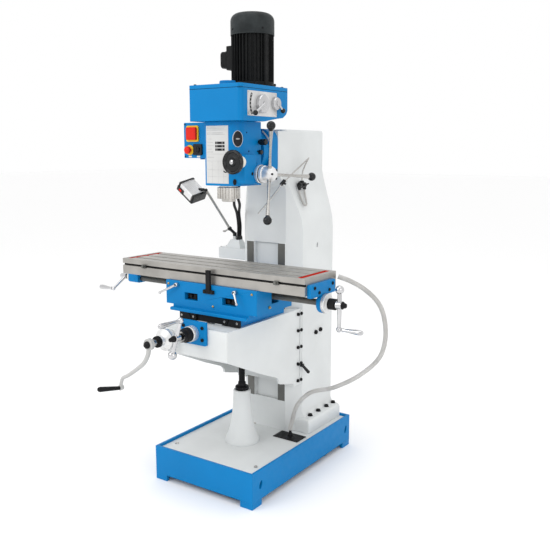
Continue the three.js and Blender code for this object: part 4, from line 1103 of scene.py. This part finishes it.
def saddle_dressing():
    wiper, cap = Solid(), Solid()
    for side in (-1, 1):
        outer = [(97, 757), (165, 757), (165, 789), (112, 789)]
        inner = [(72, 757), (94, 757), (108.6, 788.8), (72, 788.8)]
        wiper.prism([(side * x, z) for x, z in outer], "y", -357, -345.3)
        cap.prism([(side * x, z) for x, z in inner], "y", -357, -345.3)
    wiper.done("saddle_wiper", "rubber", "saddle", 1.0)
    cap.block(-72, 72, -346.8, -345.3, 757, 788.8)
    cap.done("slide_end_cap", "rubber", "knee", 0.8)
    Solid().block(-208, 208, -372, -349.9, 792, 806).done("saddle_lip", "blue", "saddle", 2.5)
    for name, body, reach in (("wiper_screws", "saddle", 152), ("cap_screws", "knee", 86)):
        screws = Solid()
        for x in (-reach, reach):
            screws.screw((x, -357, 774), "y", 5, 2.5, -1)
        screws.done(name, "satin", body, 0.3)
    Solid().block(-62, 58, -352, -345.5, 788.9, 789.3).done("cross_scale", "silver_plate", "knee")
    fitting = Solid()
    for x, z in ((-232, 905), (20, 830), (225, 905)):
        fitting.lathe([(0, SADDLE_FRONT), (5, SADDLE_FRONT), (5, -353), (3, -354), (3, -356), (0, -357)], "y",
                      (x, 0, z), 20)
    fitting.lathe([(0, 248), (6, 248), (6, 252), (3.5, 253), (3.5, 256), (0, 257)], "x", (0, -260,
                                                                                          838), 20)
    fitting.done("oil_nipples", "brass", "saddle", 0.2)
    nut = Solid()
    for x0, x1 in ((-58, -34.5), (34.5, 58)):
        nut.lathe([(14, x0), (24, x0), (24, x1), (14, x1)], "x", (0, -215, 878), 40, True)
    nut.done("table_nuts", "brass", "saddle", 0.6)
    # Painted shade: a thin black sheet at the back of each saddle window stands in for the shade in the recess; the
    # round stud and the block in each window are black parts.
    shade = Solid()
    for x0, x1 in ((-139.6, -67.4), (69.4, 141.6)):
        shade.block(x0, x1, -326.8, -326.3, 843.4, 874.6)
        middle = (x0 + x1) / 2
        shade.lathe([(0, -342), (8, -342), (8, -326.5), (0, -326.5)], "y", (middle - 8, 0, 859), 6)
        shade.block(middle + 6, middle + 22, -338, -326.5, 848, 868)
    shade.done("saddle_window_parts_and_shade", "black", "saddle", 0.5)
    stop = Solid()
    for x in (-20, 20):
        stop.screw((x, -360, 891), "y", 4.5, 3, -1)
    stop.done("travel_stop_screws", "phenolic", "saddle", 0.3)
    for name, x, tip in (("left", -178, (-256, -384, 866)), ("right", 143, (171, -384, 864))):
        node = f"table_lock_{name}"
        lever = Solid().lathe([(0, -350.3), (9, -350.3), (9, -366), (7, -369), (0, -370)], "y", (x, 0, 905), 32)
        lever.rod((x, -364, 905), tip, 6, 4, 24).ball(tip, 6.5)
        stand_in(lever, f"{node}_lever", node, "chrome")
        Solid().lathe([(0, -370.5), (5.5, -370.5), (5.5, -368), (0, -368)], "y", (x, 0, 905),
                      6).done(
            f"{node}_screw", "black", body_of(node), 0.2)


TABLE_X = (-529, 471)


def table_dressing():
    for name, x0, x1 in (("left", -513, -490), ("right", 425, 450)):
        y0, y1 = -324, -104
        paint = Solid().block(x0 + 0.2, x1 - 0.2, y0 + 0.2, y1 - 0.2, 980.1, 980.8)
        for a, b in ((x0 + 0.1, x0 + 0.7), (x1 - 0.7, x1 - 0.1)):
            paint.block(a, b, y0 + 0.2, y1 - 0.2, 980.1, 990.5)
        for a, b in ((y0 + 0.1, y0 + 0.7), (y1 - 0.7, y1 - 0.1)):
            paint.block(x0 + 0.2, x1 - 0.2, a, b, 980.1, 990.5)
        paint.done(f"trough_paint_{name}", "red_trough", "table")
    dark = Solid()
    for slot in (-70, 0, 70):
        y = slot - 215
        dark.block(-489.5, 424.5, y - 11.6, y + 11.6, 957.1, 957.6)
        for a, b in ((y - 6.9, y - 6.4), (y + 6.4, y + 6.9)):
            dark.block(-489.5, 424.5, a, b, 971, 989)
    dark.block(TABLE_X[0] + 0.5, TABLE_X[1] - 0.5, -326.8, -326.2, 960.4, 968.6)
    dark.done("slot_shadows", "black", "table")
    dogs = Solid()
    for x in (-389, 338):
        dogs.prism(rounded(x - 11, x + 11, 956, 973, 3), "y", -346, -338.2)
        dogs.lathe([(0, -355), (6, -355), (7, -354), (7, -346), (0, -346)], "y", (x, 0, 964.5), 6)
    dogs.done("travel_dogs", "way", "table", 0.6)
    bolts = Solid()
    for y, z in ((-293, 951), (-152, 951), (-258, 928), (-178, 928)):
        bolts.screw((TABLE_X[1] + 18, y, z), "x", 7, 4)
    for y in (-258, -172):
        bolts.screw((TABLE_X[0] - 18, y, 928), "x", 6, 4, -1)
    bolts.done("bracket_bolts", "black", "table", 0.4)
    boss = Solid().lathe([(13.8, 471.4), (38.2, 471.4), (40.4, 475.5), (40.4, 487.5), (37, 490.2),
                          (13.8, 490.2)],
                         "x", (0, -215, 878), 72, True)
    boss.done("right_bracket_boss", "blue", "table")


def table_feed():
    at = (0, -215, 878)
    body = body_of("table_screw")
    thread = []
    x = -520
    while x < 460:
        thread += [(13, x), (13, x + 2.4), (12, x + 3), (12, x + 4.4)]
        x += 5
    bar = [(0, -629), (9, -629), (9, -593.3), (13, -593.3), *thread, (13, 490.6), (10, 490.6), (10, 550.6),
           (0, 550.6)]
    stand_in(Solid().lathe(bar, "x", at, 32), "table_screw_threaded", "table_screw", "way")
    dial = [(13, 490.8), (39, 490.8), (40, 492), (40, 505), (38.5, 506.6), (28, 509), (24, 512),
            (13, 512)]
    Solid().lathe(dial, "x", at, 72, True).done("table_dial_right", "dial", body)
    Solid().ticks("x", at, 40, 492.5, 8, 60, 0.8).done("table_dial_marks", "ink", body)
    collar = [(10.2, 511.5), (22, 511.5), (23, 513), (23, 541), (22, 542.6), (10.2, 542.6)]
    Solid().lathe(collar, "x", at, 48, True).done("table_collar_right", "black", body, 0.3)
    cream = [(9.2, -593.4), (22, -593.4), (22, -597), (20, -600), (20, -613), (18, -615), (9.2,
                                                                                           -615)]
    Solid().lathe(cream, "x", at, 48, True).done("table_collar_left", "cream", body)

    crank = Solid().lathe([(10.6, 543.8), (15, 543.8), (17, 546), (17, 568), (15, 571), (10.6, 572)], "x", at,
                          48, True)
    centre = 557.9
    crank.rod((centre, -215, 878), (centre, -215, 778), 10, 7).rod((centre, -215, 878), (centre, -215, 940), 10, 8.5)
    crank.ball((centre, -215, 940), 18).ball((centre, -215, 778), 12)
    stand_in(crank, "right_crank_forged", "table_crank_right", "chrome", 0)
    Solid().lathe([(0, 571), (16, 571), (16, 574), (12, 578), (9, 588), (5, 589.8), (0, 590)], "x",
                  at, 40).done(
        "right_crank_cap", "black", body)
    shape = [(0, 0), (5.5, 0.2), (7.6, 2), (8, 6), (6.4, 12), (7, 24), (9, 44), (10.8, 66), (11, 78), (9.6, 88),
             (6, 93), (0, 94)]
    stand_in(Solid().lathe(shape, "x", (571, -215, 778), 40), "right_grip_turned",
             "table_grip_right", "chrome")

    end = (-641, -297, 828)
    crank = Solid().lathe([(0, -669), (11, -669), (14, -653), (14, -633), (12, -631.4), (0, -631.4)], "x", at, 40)
    crank.rod((-641, -215, 878), end, 8, 6).ball(end, 9.5)
    stand_in(crank, "left_crank_forged", "table_crank_left", "chrome", 0)
    Solid().lathe([(0, -675), (6, -674), (9, -671), (9.5, -668), (0, -668)], "x", at, 32).done(
        "left_crank_cap", "black", body)
    shape = [(r, -h * 84 / 94) for r, h in shape]
    stand_in(Solid().lathe(shape, "x", (-651, -297, 828), 40), "left_grip_turned",
             "table_grip_left", "chrome")


saddle_dressing()
table_dressing()
table_feed()

# ------------------------------------------------------------------ studio
floor_mesh = bpy.data.meshes.new("floor")
floor_mesh.from_pydata([(-40, -40, 0), (40, -40, 0), (40, 40, 0), (-40, 40, 0)], [], [(0, 1, 2,
                                                                                       3)])
floor = bpy.data.objects.new("floor", floor_mesh)
bpy.context.scene.collection.objects.link(floor)
floor_finish = Surface("studio_floor", (0.98, 0.98, 0.98), 0.8)
floor_finish.bump(floor_finish.noise(40.0, 2.0), 0.02)
floor_mesh.materials.append(floor_finish.material)


def soft_light(name, where, toward, size, watts):
    data = bpy.data.lights.new(name, "AREA")
    data.shape = "RECTANGLE"
    data.size, data.size_y = size
    data.energy = watts
    light = bpy.data.objects.new(name, data)
    light.location = where
    aim = Vector(toward) - Vector(where)
    light.rotation_euler = aim.to_track_quat("-Z", "Y").to_euler()
    bpy.context.scene.collection.objects.link(light)


soft_light("key", (-1.6, -3.8, 3.4), (0, 0, 1.0), (2.0, 2.0), 52)
soft_light("fill", (3.8, -2.0, 2.2), (0, 0, 1.0), (2.4, 2.4), 20)
soft_light("top", (0.2, -0.4, 4.6), (0, 0, 0.8), (3.0, 3.0), 26)
world = bpy.data.worlds.new("studio")
world.use_nodes = True
world.node_tree.nodes["Background"].inputs["Color"].default_value = (1, 1, 1, 1)
world.node_tree.nodes["Background"].inputs["Strength"].default_value = 1.0
bpy.context.scene.world = world
bpy.context.scene.view_settings.view_transform = "Standard"
